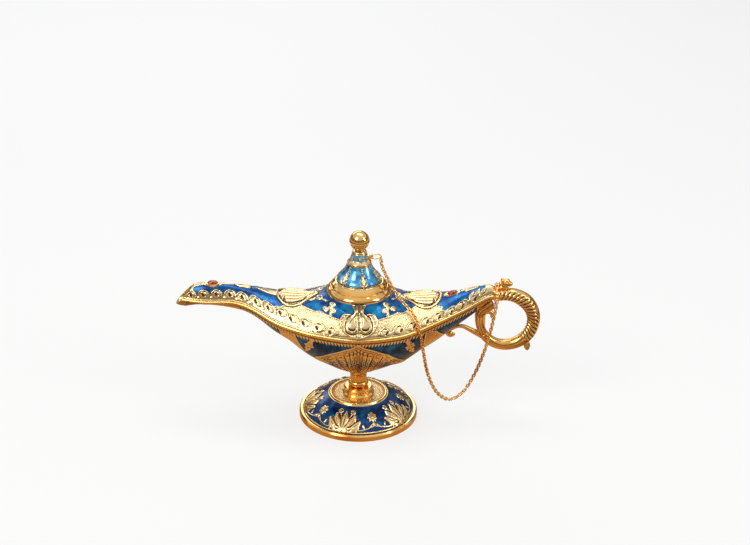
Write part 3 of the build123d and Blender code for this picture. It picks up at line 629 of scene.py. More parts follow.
def skinPiece(name, points, normals, relief, rider, look, closed=False, skirt=0.6, mirror=False,
              hide=None):
    # the carved surface with its edges turned down; skirt 0 closes both ends to their middles
    if closed:
        ends = [points[:, end] - normals[:, end] * skirt for end in (slice(0, 1), slice(-1, None))]
        if skirt == 0:
            ends = [np.repeat(end.mean(0, keepdims=True), len(points), 0) for end in ends]
        points = np.concatenate((ends[0], points, ends[1]), axis=1)
    else:
        points = np.pad(points, ((1, 1), (1, 1), (0, 0)), mode="edge")
        inner = np.pad(normals, ((1, 1), (1, 1), (0, 0)), mode="edge") * skirt
        points[0], points[-1] = points[0] - inner[0], points[-1] - inner[-1]
        points[1:-1, 0] -= inner[1:-1, 0]
        points[1:-1, -1] -= inner[1:-1, -1]
    wide, high = points.shape[:2]
    pad = ((0, 0), (1, 1)) if closed else ((1, 1), (1, 1))
    sides = np.array((1, -1 if mirror else 1, 1))
    points = points * sides
    numbers = np.arange(wide * high).reshape(wide, high)
    ahead = np.roll(numbers, -1, axis=0) if closed else numbers[1:]
    here = numbers if closed else numbers[:-1]
    faces = np.stack((here[:, :-1], ahead[:, :-1], ahead[:, 1:], here[:, 1:]), -1)
    if hide is not None:
        keep = np.pad(~hide, pad, mode="constant", constant_values=False)
        follow = np.roll(keep, -1, axis=0) if closed else keep[1:]
        keep = keep if closed else keep[:-1]
        faces = faces[keep[:, :-1] | follow[:, :-1] | follow[:, 1:] | keep[:, 1:]]
    faces = faces.reshape(-1, 4)
    sample = faces[:: max(len(faces) // 400, 1)]
    a, b, c, d = (points.reshape(-1, 3)[sample[:, k]] for k in range(4))
    wanted = np.pad(normals, (*pad, (0, 0)), mode="edge").reshape(-1, 3)[sample[:, 0]] * sides
    if (np.cross(c - a, d - b) * wanted).sum() < 0:
        faces = faces[:, ::-1]
    piece, mesh = newPiece(name, (points.reshape(-1, 3) * mm).tolist(), faces.tolist(), look)
    for word in ("metal", "cavity", "crest", "grain"):
        grid = np.pad(relief[word], pad, mode="edge").reshape(-1)
        layer = mesh.attributes.new(word, "FLOAT", "POINT")
        layer.data.foreach_set("value", np.ascontiguousarray(grid, dtype=np.float32))
    cleanMesh(mesh, dropLoose)
    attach(piece, rider)
    return piece


bodyTree = nodeTree("upper_shell", "lower_hull")
shellSurface = sideSurface(bodyTree, 1)
hullSurface = sideSurface(bodyTree, -1)
print("body surfaces read", shellSurface["reach"].max().round(1), hullSurface["reach"].max().round(1))

# upper shell: scroll band under a blue field
shell = {
    # places on the picture, in pixels
    "scrollEyes": ((190.5, 295), (202.5, 295), (215.5, 294.5), (229, 295), (242, 297.5), (255.3, 301.8),
                   (267.7, 307.9), (279.3, 313), (290, 319), (302.8, 323.3), (316.1, 328.3), (329.4, 332.8),
                   (387.2, 333.9), (401.7, 330.6), (414.7, 326.4), (427.8, 321.7), (440, 317.2),
                   (451.7, 312.8), (462.8, 306.1), (475.6, 298.9)),
    "trefoils": (((325.5, 309), (332.8, 305), (333.3, 311)), ((393.1, 309), (385.8, 305), (385.3, 311))),
    "neckCurls": ((319.4, 297.2), (399.2, 297.2)),
    # root and tip on the picture, width in mm
    "tailLeaves": (((470, 300), (473.5, 291.5), 3.0), ((475, 297.5), (480, 288.8), 3.2),
                   ((480, 295), (486.5, 288.2), 2.8)),
    "scrollRadius": 2.9, "scallopRadius": 3.7, "band": 0.20, "bandOver": 0.4,
    # the scrolls shrink toward both ends: mm from the middle, share of the full size
    "scrollSizes": ((50, 66, 80), (1.0, 0.84, 0.76)), "edgedFrom": 44,
    # edge of the wide gold field, mm along the body and mm up from the seam
    "fieldEdge": ((-46.5, 8.0), (-43.5, 10.5), (-40, 15), (-35, 18.0), (-28.7, 15.8), (-24.5, 14.2),
                  (-21.7, 15.0), (-18.6, 13.4), (-15.5, 12.2), (-11.2, 11.3), (0, 11.0), (11.2, 11.3),
                  (15.5, 12.2), (18.6, 13.4), (21.7, 15.0), (24.5, 14.2), (28.7, 15.8), (35, 18.0),
                  (40, 15), (43.5, 10.5), (46.5, 8.0)),
    "fieldLow": 0.3, "lipFrom": -92.5, "tailFrom": 70.5,
    # along the ridge in mm: thick end, thin end, width
    "drops": ((-62.4, -69.6, 3.8), (-46.3, -57.2, 5.4), (60.5, 67.5, 3.4)),
    # along the ridge in mm: both ends, width, height, ground, taper
    "ridgeBars": ((-93.0, -70.6, 2.4, 0.30, 0.15, (1.5, 1.1, 0.4)),
                  (57.4, 60.5, 1.1, 0.35, 0.2, (0.5, 0.8, 1))),
}


def carveScroll(relief, eye):
    # a scroll beside its eye and crescent, both darkened with painted shade, on a gold scallop
    flip = -1 if eye[0] < 0 else 1
    small = float(np.interp(abs(eye[0]), *shell["scrollSizes"]))
    scallop = shell["scallopRadius"] * small
    dome(relief, eye, (scallop, scallop), 0.0, shell["band"])
    if abs(eye[0]) > shell["edgedFrom"]:
        stroke(relief, arc(eye, scallop - 0.3, 5, 175), 0.7, 0.30)
    ball = eye + np.array((-flip * 1.7, 0.4)) * small
    dome(relief, ball, (2.6 * small, 2.3 * small), 0.45, 0.12)
    scroll = curl(ball, shell["scrollRadius"] * small, 90 + flip * 110, -flip * 0.95, 0.5)
    stroke(relief, scroll, 1.1 * small, 0.26, 0.34, (0.5, 1, 0.6))
    dome(relief, eye + (flip * 2.4, -1.9), (1.0, 0.8), 0.25, 0.15)
    crescent = arc(eye + np.array((-flip * 1.4, 0.8)) * small, 1.9 * small, 48 - flip * 5, 132 - flip * 5, 8)
    groove(relief, crescent, 1.35, 0.45, 1.0, (0.3, 1, 0.3))
    groove(relief, (eye + (0, 0.5), eye - (flip * 0.4, 0.4)), 1.9, 0.60, 1.0)


def carveTrefoil(relief, points):
    middle = points.mean(0)
    for point in points:
        dome(relief, point, (1.75, 1.75), 0.42)
        groove(relief, curl(point, 1.0, 0, 0.9, 0.4, 12), 0.5, 0.2, 0.6)
    dome(relief, middle, (1.3, 1.3), 0.35)
    stroke(relief, (middle, middle - (0, 4.6)), 1.3, 0.3, taper=(0.6, 0.7, 1.6))


def carveNeckCurl(relief, place):
    flip = 1 if place[0] < 0 else -1
    stroke(relief, curl(place, 2.4, 200 if flip > 0 else -20, flip * 1.25), 0.9, 0.4)
    leaf(relief, place + (-flip * 2.2, -1.0), place + (-flip * 6.0, -3.6), 1.6, 0.35, flip * 0.15)
    leaf(relief, place + (flip * 1.6, -1.8), place + (flip * 5.4, -3.2), 1.5, 0.32, -flip * 0.2)


def carveShell(surface, across, along):
    relief = newRelief(across, along)
    relief["down"] = reachAt(surface, across) - along
    eyes = spots(surface, shell["scrollEyes"])
    edge, low = np.array(shell["fieldEdge"]), shell["fieldLow"]
    plate(relief, np.vstack(((edge[0][0], low), edge, (edge[-1][0], low))), shell["band"], 0.5, 1.0)
    band = np.interp(relief["across"], eyes[:, 0], eyes[:, 1]) + shell["bandOver"] - relief["along"]
    gild(relief, band, shell["band"], shell["bandOver"])
    relief["grain"][band > 0] = 0.15
    tips = np.maximum(shell["lipFrom"] - relief["across"], relief["across"] - shell["tailFrom"])
    gild(relief, tips, 0.25, 0.5)
    stroke(relief, edge, 0.75, 0.30)
    for eye in eyes:
        carveScroll(relief, eye)
    ends = surface["columns"][[0, -1]]
    stroke(relief, [(end, 1.45) for end in ends], 0.5, 0.16)
    groove(relief, [(end, 1.95) for end in ends], 0.45, 0.12, 0.7)
    for root, tip, width in shell["tailLeaves"]:
        leaf(relief, spot(surface, root), spot(surface, tip), width, 0.45, 0.12, 0.12)
    for group in shell["trefoils"]:
        carveTrefoil(relief, spots(surface, group))
    for pixel in shell["neckCurls"]:
        carveNeckCurl(relief, spot(surface, pixel))
    for fat, thin, width in shell["drops"]:
        stroke(relief, ((fat, 0), (thin, 0)), width, 0.45, 0.2, (1, 0.85, 0.1), "down")
        for off in (0.16, 0.5):
            groove(relief, ((fat, off * width * 0.55), (thin, off * 0.4)), 0.5, 0.2, 0.7, (1, 1, 0.3), "down")
    for first, last, *bar in shell["ridgeBars"]:
        stroke(relief, ((first, 0), (last, 0)), *bar, "down")
    return settleRelief(relief)


def bodySkin(surface, carve, names, look):
    across = np.repeat(surface["columns"][:, None], body["rows"], 1)
    gap = body["seamGap"]
    along = gap + (reachAt(surface, across) - gap) * np.linspace(0, 1, body["rows"])[None]
    points = onSurface(surface, across, along)
    normals = gridNormals(points, (points - body["middle"]) * (0, 1, 1))
    relief = carve(surface, across, along)
    middle = np.abs(points[:, -1, 1]) < body["middleReach"]  # columns whose top row is on the middle plane
    normals[middle, -1, 1] = 0
    normals = unit(normals)
    points = points + normals * (body["lift"] + relief["height"])[..., None]
    points[middle, -1, 1] = 0
    for name, mirror in zip(names, (False, True)):
        skinPiece(name, points, normals, relief, "lamp", look, mirror=mirror)


bodySkin(shellSurface, carveShell, ("shell_relief_front", "shell_relief_back"), "shell")
print("upper shell carved")

# lower hull: toothed border, enamel panels and the fan over the stem
hull = {
    "toothPitch": 1.75, "toothFrom": 2.4, "toothTo": 3.7, "toothLean": 0.7,
    # edges of the two gold dividers on the picture, their lower ends run on under the hull by these mm
    "dividers": (((280, 326), (284, 323.5), (290, 326), (296, 337), (303, 348)),
                 ((424, 342), (425.5, 334.5), (430.5, 331), (436, 331), (443, 333.5))),
    "dividerDrop": 6.0,
    "fan": ((316, 356.4), (330, 353.8), (345, 350.4), (353, 348.2), (358.5, 345.4), (364, 348.2),
            (373, 350.6), (388, 354.8), (404, 359.4)),
    "rosettes": ((309.5, 344.5), (410, 345.5)),
    # one column of rosettes: mm outward and down from its middle, radius
    "column": ((-1.6, -4.2, 1.4), (-0.8, -2.5, 1.6), (0, 0.6, 2.9), (0.9, 4.2, 1.8), (1.6, 6.5, 1.2)),
    "petals": 6, "flutes": 13, "plainEnds": (-66.5, 66.0), "keelFade": 1.2,
}


def fanRay(fan, root, share, *parts):
    # points at these parts of the way from the fan's root to its edge
    place = np.array([np.interp(share, np.linspace(0, 1, len(fan)), fan[:, axis]) for axis in range(2)])
    return [root + (place - root) * part for part in parts]


def carveFan(relief, fan, reach):
    outline = np.vstack((fan, (fan[-1][0] + 3, reach + 4), (fan[0][0] - 3, reach + 4)))
    plate(relief, outline, 0.22)
    stroke(relief, fan, 0.9, 0.32)
    stroke(relief, fan + (0, 1.6), 0.5, 0.22)
    root, total = np.array((0, reach + 1.5)), hull["flutes"]
    for index in range(total):
        low, middle, tip, bead = fanRay(fan, root, (index + 0.5) / total, 0.12, 0.4, 0.85, 0.92)
        dome(relief, bead, (0.85, 0.85), 0.45)
        stroke(relief, (low, tip), 2.6, 0.42, 0.15, (0.35, 0.75, 1.0))
        groove(relief, (middle, tip), 0.6, 0.2, 0.8, (0.4, 1, 0.6))
    for index in range(1, total):
        groove(relief, fanRay(fan, root, index / total, 0.15, 0.93), 0.7, 0.2, 1.0)


def carveHull(surface, across, along):
    relief = newRelief(across, along)
    ends, pitch = hull["plainEnds"], hull["toothPitch"]
    gild(relief, hull["toothFrom"] - relief["along"], 0.2, 0.3)
    gild(relief, np.maximum(ends[0] - relief["across"], relief["across"] - ends[1]), 0.18, 0.5)
    groove(relief, ((-99, 1.45), (75, 1.45)), 0.65, 0.25, 1.0)
    first = ends[0] + 1.0
    while first < ends[1] - 1.0:
        lean = hull["toothLean"] if first < 0 else -hull["toothLean"]
        tooth = ((first, hull["toothFrom"] - 0.3), (first + lean, hull["toothTo"]))
        stroke(relief, tooth, 1.15, 0.32, 0.15, (1.1, 1, 0.35))
        first += pitch
    for outline in hull["dividers"]:
        points, low = spots(surface, outline), hull["dividerDrop"]
        under = ((points[-1][0] + 3, points[-1][1] + low), (points[0][0] + 1, points[0][1] + low + 3))
        points = np.vstack((points, under))
        plate(relief, points, 0.25, 0.5, 1.0)
        stroke(relief, np.vstack((points, points[:1])), 0.6, 0.2, 0.25)
    carveFan(relief, spots(surface, hull["fan"]), surface["reach"][np.argmin(np.abs(surface["columns"]))])
    for pixel in hull["rosettes"]:
        place = spot(surface, pixel)
        flip = 1 if place[0] < 0 else -1
        for out, low, size in hull["column"]:
            rosette(relief, place + (-flip * out, low), size, hull["petals"], 0.45, 15)
    fade = hull["keelFade"]
    relief["height"] *= np.clip((reachAt(surface, across) - relief["along"] + fade) / fade, 0, 1) * 0.4 + 0.6
    return settleRelief(relief)


bodySkin(hullSurface, carveHull, ("hull_relief_front", "hull_relief_back"), "hull")
print("lower hull carved")

# raised palmettes, two on the ridge and one on each side of the neck
palmettes = {
    "lift": 0.85, "spacing": 0.22, "edge": 0.7, "hiddenShade": 0.3, "ridgeRows": 110, "sideRows": 112,
    # half outlines: mm along the ridge from the round end, mm from the ridge
    "ridgeHalf": ((0, 0), (0.3, 2.6), (1.4, 5.6), (3.6, 8.6), (6.8, 10.9), (10.4, 11.3), (13.6, 9.8),
                  (16.4, 7.0), (19.2, 4.0), (21.8, 1.9), (24.0, 0)),
    "ridgeStart": {"palmette_spout": (-46.8, 1), "palmette_tail": (46.8, -1)},
    # mm from the ridge of the ribs and of the cuts between them
    "ribs": (1.5, 4.3, 7.0), "ribCuts": (0.0, 2.9, 5.7, 8.2),
    # half outline: mm from the middle, mm up from the seam
    "sideHalf": ((0, 1.0), (2.4, 1.5), (5.6, 2.6), (8.6, 4.8), (10.5, 8.0), (10.8, 11.2), (9.2, 14.0),
                 (6.6, 15.2), (4.2, 14.7), (3.0, 15.8), (2.7, 17.6), (3.9, 19.4), (4.4, 21.2), (3.2, 22.6),
                 (1.6, 22.4), (0, 22.6)),
    # fine lines inside the side palmette's petals: middle and end
    "veins": (((1.9, 11.0), (2.4, 8.6)), ((4.9, 11.0), (5.0, 8.6))),
}


def insetLine(outline, middle, share):
    return middle + (np.asarray(outline, float) - middle) * share


def sideBend(side, points, steps=12):
    return bend(*(np.array(point) * (side, 1) for point in points), steps)


def raisePlate(relief, half, flip):
    # domed inside the half outline and its mirror image, sunk outside
    found, gap = edgeGap(relief, np.vstack((half, (half[1:-1] * flip)[::-1])), 3.0)
    rise = np.clip(gap / palmettes["edge"], 0, 1)
    level = np.full(relief["height"].size, -1.0)
    level[found] = np.where(gap > 0, palmettes["lift"] * np.sqrt(1 - (1 - rise) ** 2), -1.0)
    relief["height"] = level.reshape(relief["height"].shape)
    relief["metal"][:] = 1


def carveRidgePalmette(relief):
    half, top = np.array(palmettes["ridgeHalf"]), palmettes["lift"]
    raisePlate(relief, half, (1, -1))
    stroke(relief, insetLine(half, (11, 0), 0.955), 1.3, 0.4, top - 0.05)
    groove(relief, insetLine(half[:-1], (11.5, 0), 0.85), 0.9, 0.5, 1.0)
    for off in palmettes["ribs"]:
        rib = bend((3.4 + off * 0.32, off), (11, off * 1.28), (21.5, off * 0.2))
        stroke(relief, rib, 2.7, 0.9, top - 0.1, (0.9, 1, 0.2))
    for off in palmettes["ribCuts"]:
        cut = bend((3.0 + off * 0.34, off), (11, off * 1.28), (21.5, off * 0.2))
        groove(relief, cut, 0.75, 0.55, 1.0, (0.7, 1, 0.3))
    groove(relief, arc((6.6, 5.4), 1.9, 110, 240, 8), 1.2, 0.6, 1.0, (0.3, 1, 0.3))


def carveSidePalmette(relief):
    half, top = np.array(palmettes["sideHalf"]), palmettes["lift"]
    raisePlate(relief, half, (-1, 1))
    for side in (-1, 1):
        line = half * (side, 1)
        stroke(relief, insetLine(line[:9], (0, 8.5), 0.955), 1.1, 0.4, top - 0.05)
        for point in insetLine(line[1:8], (0, 8.6), 0.86):
            dome(relief, point, (0.42, 0.42), 0.3, top)
        petal = sideBend(side, ((1.5, 16.2), (3.4, 12.5), (3.7, 8.4)), 10)
        stroke(relief, petal, 4.8, 0.75, top - 0.1, (0.35, 0.85, 1.1))
        dome(relief, (side * 3.9, 7.8), (3.6, 4.6), 0.85, top - 0.1, side * 10)
        edge = sideBend(side, ((2.6, 15.6), (9.4, 11.5), (7.0, 5.0)), 14)
        groove(relief, edge, 0.9, 0.5, 1.0, (0.6, 1, 0.8))
        edge = sideBend(side, ((7.0, 5.0), (4.4, 2.4), (0.6, 4.4)))
        groove(relief, edge, 0.9, 0.5, 1.0, (0.8, 1, 0.6))
        groove(relief, arc((side * 3.7, 8.0), 2.2, 200, 340, 10), 1.7, 0.7, 1.0, (0.2, 1, 0.2))
        for vein in palmettes["veins"]:
            groove(relief, sideBend(side, ((1.9, 13.8), *vein)), 0.5, 0.3, 0.7, (0.6, 1, 0.3))
        stroke(relief, curl((side * 3.1, 20.9), 1.5, 90, side * 1.0, 0.3, 14), 0.9, 0.4, top)
        stroke(relief, ((side * 1.2, 15.2), (side * 1.3, 20.5)), 0.9, 0.4, top)
    groove(relief, ((0, 2.6), (0, 14.6)), 0.9, 0.7, 1.0, (0.6, 1, 0.5))
    groove(relief, ((0, 15.4), (0, 21.0)), 0.6, 0.3, 0.9)
    dome(relief, (0, 2.4), (0.9, 1.1), 0.5, top)


def palmettePiece(name, points, outward, relief, hide, deepest=-np.inf, mirror=False):
    settleRelief(relief)
    relief["cavity"][:] = np.where(hide, palmettes["hiddenShade"], relief["cavity"])
    normals = gridNormals(points, outward)
    points = points + normals * np.maximum(relief["height"], deepest)[..., None]
    piece = skinPiece(name + "_carved", points, normals, relief, "lamp", "shell", mirror=mirror,
                      hide=hide)
    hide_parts(name)


def ridgePalmette(name):
    start, flip = palmettes["ridgeStart"][name]
    local = np.arange(-0.6, 24.7, palmettes["spacing"])
    rows = palmettes["ridgeRows"]
    across = np.repeat((start + flip * local)[:, None], rows, 1)
    down = np.repeat(np.linspace(12.2, 0, rows)[None], len(local), 0)
    points = onSurface(shellSurface, across, reachAt(shellSurface, across) - down)
    full = np.concatenate((points, points[:, -2::-1] * (1, -1, 1)), axis=1)
    side = np.concatenate((down, -down[:, -2::-1]), axis=1)
    relief = newRelief(np.repeat(local[:, None], side.shape[1], 1), side)
    carveRidgePalmette(relief)
    for word in ("height", "shade"):
        half = relief[word][:, :rows]
        relief[word] = np.concatenate((half, half[:, -2::-1]), axis=1)
    hide = relief["height"] < -0.5
    palmettePiece(name, full, full - full.mean((0, 1)) + (0, 0, 8), relief, hide)


def sidePalmette(name, mirror):
    local = np.arange(-11.4, 11.5, palmettes["spacing"])
    rows = palmettes["sideRows"]
    across = np.repeat(local[:, None], rows, 1)
    along = np.repeat(np.linspace(0.6, 22.9, rows)[None], len(local), 0)
    reach = reachAt(shellSurface, across)
    points = onSurface(shellSurface, across, np.minimum(along, reach))
    relief = newRelief(across, along)
    carveSidePalmette(relief)
    hide = (relief["height"] < -0.5) | (along > reach)
    palmettePiece(name, points, points * (1, 1, 0), relief, hide, -0.9, mirror)


ridgePalmette("palmette_spout")
ridgePalmette("palmette_tail")
sidePalmette("palmette_front", False)
sidePalmette("palmette_back", True)
print("palmettes carved")

# foot: lotus field and the stippled disc inside it
foot = {
    # inner and outer radius, rows between them
    "field": (16.6, 31.95, 62), "disc": (8.2, 15.6, 36),
    "around": 720, "lotusAt": -107.0, "lotuses": 5, "lift": 0.06,
    # radius and width of the field's two lines
    "lines": ((16.9, 0.5), (31.5, 0.6)),
    # one half lotus, mm across and mm from the foot's middle: root, tip, width, belly
    "petals": (((3.6, 29.4), (8.6, 25.0), 4.4, 1.3), ((1.5, 29.7), (5.2, 22.9), 5.0, 1.9)),
    # cuts between the petals: root, tip, belly
    "petalCuts": (((2.6, 29.4), (7.4, 24.0), 2.0), ((0.9, 29.4), (2.6, 22.8), 1.4)),
    # leaves of the vine: radius and angle of the root, and how far the tip is from it
    "vineLeaves": ((29.4, 24, -1.9, -2), (29.3, 30, -1.6, 4), (28.6, 35, -1.9, 1)),
    "dashes": 84, "dashFrom": 13.7, "rayAngles": (0.3, 1.7, 3.9), "rayFrom": 40,
}


def polar(radius, degrees):
    return (radius * math.sin(math.radians(degrees)), radius * math.cos(math.radians(degrees)))


def raisedLine(relief, away, half, ground, rise, scale=1.0):
    # a rounded line wherever the distance away is under half its width
    fall = 1 - (away / half) ** 2
    level = np.where(fall > 0, ground + rise * np.sqrt(np.clip(fall, 0, 1)), 0)
    relief["height"] = np.maximum(relief["height"], level)
    relief["metal"] = np.maximum(relief["metal"], (half - away) * scale)


def carveLotusHalf(relief, side):
    dome(relief, (side * 3.5, 20.9), (1.45, 1.45), 0.45, 0.15)
    groove(relief, curl((side * 3.5, 20.9), 0.85, 0, side * 0.9, 0.3, 12), 0.4, 0.25, 0.9)
    stroke(relief, sideBend(side, ((3.3, 22.2), (2.2, 23.6), (2.4, 25.6))), 0.7, 0.3, 0.15)
    for root, tip, width, belly in foot["petals"]:
        root, tip = np.array(root) * (side, 1), np.array(tip) * (side, 1)
        line = bend(root, (root + tip) / 2 + (side * belly, belly * 0.6), tip)
        stroke(relief, line, width, 0.65, 0.15, (0.9, 1.05, 0.35))
        groove(relief, line[3:-1], width * 0.16, 0.22, 0.6, (0.5, 1, 0.3))
        fold = arc(root * 0.55 + tip * 0.45 + (side * 0.3, 1.0), width * 0.27, 20, 160, 8)
        groove(relief, fold, 0.6, 0.25, 0.8, (0.3, 1, 0.3))
    for root, tip, belly in foot["petalCuts"]:
        root, tip = np.array(root) * (side, 1), np.array(tip) * (side, 1)
        cut = bend(root, (root + tip) / 2 + (side * belly * 0.5, 0.4), tip)
        groove(relief, cut, 0.6, 0.5, 1.0, (0.5, 1, 0.7))
    stroke(relief, curl((side * 7.9, 28.3), 1.5, 90, side * 1.0, 0.3, 16), 0.8, 0.35, 0.15)
    groove(relief, arc((side * 3.6, 28.6), 1.7, 30, 150, 8), 0.9, 0.35, 1.0, (0.3, 1, 0.3))
    rosette(relief, polar(24.2, side * 36), 2.8, 8, 0.4, 10, 0.15)
    stroke(relief, bend((side * 8.6, 29.2), polar(30.6, side * 26), polar(28.6, side * 36)), 0.5, 0.25, 0.12)
    for radius, angle, inward, onward in foot["vineLeaves"]:
        tip = polar(radius + inward, side * (angle + onward))
        leaf(relief, polar(radius, side * angle), tip, 1.1, 0.28, 0, 0.12, False)


def carveFoot(relief, radius, angle):
    for line, width in foot["lines"]:
        raisedLine(relief, np.abs(radius - line), width / 2, 0.12, 0.25)
    for side in (-1, 1):
        carveLotusHalf(relief, side)
    leaf(relief, (0, 30.0), (0, 20.6), 4.4, 0.8, 0, 0.15)
    stroke(relief, arc((0, 24.4), 6.2, 50, 130), 0.9, 0.35)
    dome(relief, (0, 29.3), (1.5, 0.9), 0.6, 0.15)


def carveDisc(relief, radius, angle):
    dash = np.abs(np.sin(angle * foot["dashes"] / 2))
    border = np.clip((radius - foot["dashFrom"]) / 0.25, 0, 1)
    line = np.clip(1 - np.abs(radius - foot["dashFrom"]) / 0.3, 0, 1)
    relief["metal"][:] = 1
    relief["grain"] = 1.0 - border
    relief["height"] = border * 0.22 * dash + 0.16 * line
    # painted shade in the gaps between the dashes; the whole disc is also darkened a little
    relief["shade"] = np.maximum(border * np.clip(1 - dash * 2.2, 0, 1) * 0.9, 0.30)


def turnedField(name, extent, carve, slotName, *replaced):
    tree = nodeTree("foot_enamel", "foot_plate")
    angles = np.linspace(0, 2 * np.pi, foot["around"], endpoint=False)
    radii = np.linspace(*extent)
    profile, down = [], Vector((0, 0, -1))
    for r in radii:
        starts = [Vector((r * math.cos(a), r * math.sin(a), foot["rayFrom"])) for a in foot["rayAngles"]]
        profile.append(np.median([tree.ray_cast(start, down)[0].z for start in starts]))
    profile = eased(profile, 2)
    angle, radius = np.meshgrid(angles, radii, indexing="ij")
    level = np.repeat(profile[None], len(angles), 0)
    sector = 2 * np.pi / foot["lotuses"]
    local = (angle - math.radians(foot["lotusAt"]) + sector / 2) % sector - sector / 2
    relief = newRelief(radius * np.sin(local), radius * np.cos(local))
    carve(relief, radius, angle)
    settleRelief(relief)
    slope = np.gradient(profile, radii)
    normals = unit(np.stack((-slope * np.cos(angle), -slope * np.sin(angle), np.ones_like(angle)), -1))
    points = np.stack((radius * np.cos(angle), radius * np.sin(angle), level), -1)
    points = points + normals * (foot["lift"] + relief["height"])[..., None]
    piece = skinPiece(name, points, normals, relief, "lamp", "foot", closed=True, skirt=0.5)
    if replaced:
        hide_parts(*replaced)


turnedField("foot_field", foot["field"], carveFoot, "blue_enamel", "foot_enamel")
turnedField("foot_disc", foot["disc"], carveDisc, "gold_plate")
print("foot carved")

# lid: six enamel lobes and the upper tier
lid = {"creaseAt": -77.0, "rayAngles": (0.5, 2.3, 4.4), "rayFrom": 40}
lobes = {
    "low": 83.8, "high": 96.2, "raysTo": 96.1, "easing": 2, "rows": 74, "around": 540, "count": 6,
    "creaseDepth": 1.25, "baseTop": 85.3, "spread": 10.5, "skirt": 3.0,
    # beads up each crease, and leaves on both sides of it: root and tip away from the crease and up, width
    "beads": (85.6, 86.7, 92.6, 93.6, 94.5),
    "sprigs": (((0.4, 86.4), (2.1, 87.9), 1.1), ((0.3, 88.2), (1.9, 90.0), 1.0),
               ((0.2, 90.4), (1.5, 91.9), 0.8)),
}
tier = {
    "low": 96.16, "high": 103.4, "raysTo": 103.4, "easing": 0, "rows": 44, "around": 360, "count": 10,
    "skirt": 2.0, "ground": 0.12, "rings": (0.35, 5.7, 6.7), "goldFrom": 5.6,
}


def turnedProfile(names, levels):
    tree, far = nodeTree(*names), lid["rayFrom"]
    spokes = [(math.cos(a), math.sin(a)) for a in lid["rayAngles"]]
    radii = []
    for z in levels:
        hits = [tree.ray_cast(Vector((far * x, far * y, z)), Vector((-x, -y, 0)))[0] for x, y in spokes]
        radii.append(np.median([math.hypot(hit.x, hit.y) for hit in hits if hit is not None]))
    return np.array(radii)


def carveLobes(relief, angle, levels):
    share = (levels - lobes["baseTop"]) / (lobes["high"] - lobes["baseTop"])
    half = np.pi / lobes["count"]
    bulge = np.sqrt(np.clip(1 - (np.abs(angle) / half) ** 2.4, 0, 1))
    belly = np.sqrt(np.clip(1 - np.clip((0.16 - share) / 0.16, 0, 1) ** 2, 0, 1))
    lobe = np.where(share > 0, lobes["creaseDepth"] * (bulge * belly - 1) * (1 - 0.35 * share), 0)
    relief["metal"] = np.maximum(np.maximum(-share * 12, (share - 0.93) * 12), -1)
    for side in (-1, 1):
        crease = half * lobes["spread"] * side
        leaf(relief, (crease, 87.2), (crease, 92.0), 1.9, 0.6, 0, 0.3, False)
        for level in lobes["beads"]:
            dome(relief, (crease, level), (0.6, 0.55), 0.5, 0.3)
        for root, tip, width in lobes["sprigs"]:
            root, tip = ((crease - side * off, level) for off, level in (root, tip))
            leaf(relief, root, tip, width, 0.35, 0.1 * side, 0.25, False)
    raisedLine(relief, np.abs(share), 0.05, 0, 0.25, 12)
    relief["height"] += lobe


def carveTier(relief, angle, levels):
    up = levels - tier["low"]
    scallop = 1.5 + 0.9 * np.cos(angle * tier["count"] / 2) - up
    relief["metal"] = np.clip(np.maximum(scallop, up - tier["goldFrom"]), -1, 1)
    relief["height"] = np.where(relief["metal"] > 0, tier["ground"], 0.0)
    for ring in tier["rings"]:
        level = tier["ground"] + 0.22 * np.clip(1 - np.abs(up - ring) / 0.35, 0, 1)
        relief["height"] = np.maximum(relief["height"], level)
    leaf(relief, (0, tier["low"] + 1.9), (0, tier["low"] + 5.2), 1.3, 0.3, 0, 0.1, False)
    relief["height"] -= tier["ground"]


def lidSkin(name, shape, carve, slotName, *replaced):
    levels = np.linspace(shape["low"], shape["high"], shape["rows"])
    radii = eased(turnedProfile(replaced, np.minimum(levels, shape["raysTo"])), shape["easing"])
    angles = np.linspace(0, 2 * np.pi, shape["around"], endpoint=False)
    sector = 2 * np.pi / shape["count"]
    local = (angles - math.radians(lid["creaseAt"])) % sector - sector / 2
    local, height = np.meshgrid(local, levels, indexing="ij")
    turn, radius = np.meshgrid(angles, radii, indexing="ij")
    slope = np.repeat(np.gradient(radii, levels)[None], len(angles), 0)
    relief = newRelief(local * shape.get("spread", radius), height)
    carve(relief, local, height)
    settleRelief(relief)
    normals = unit(np.stack((np.cos(turn), np.sin(turn), -slope), -1))
    points = np.stack((radius * np.cos(turn), radius * np.sin(turn), height), -1)
    points = points + normals * relief["height"][..., None]
    points[..., 2] = np.clip(points[..., 2], shape["low"], shape["high"])
    piece = skinPiece(name, points, normals, relief, "lid", "lid", closed=True,
                      skirt=shape["skirt"])
    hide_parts(*replaced)


lidSkin("lid_lobes", lobes, carveLobes, "light_blue_enamel", "lid_cone", "lid_enamel")
lidSkin("lid_tier", tier, carveTier, "gold_plate", "lid_crown")
print("lid carved")

# handle: the same bends as the bars behind it
handle = {
    "middle": (82.7, 60.9), "startAngle": 103.0, "runLength": 5.0,
    # bends to the right one after another, the first two the grip's: radius, degrees, points
    "bends": ((15.9, 193.0, 200), (13.8, 60.0, 60), (21.6, 30.0, 60), (7.0, 55.0, 40)),
    "knobRadius": 1.35, "knobPlace": (51.9, 0, 51.9), "castLook": "amber",
}
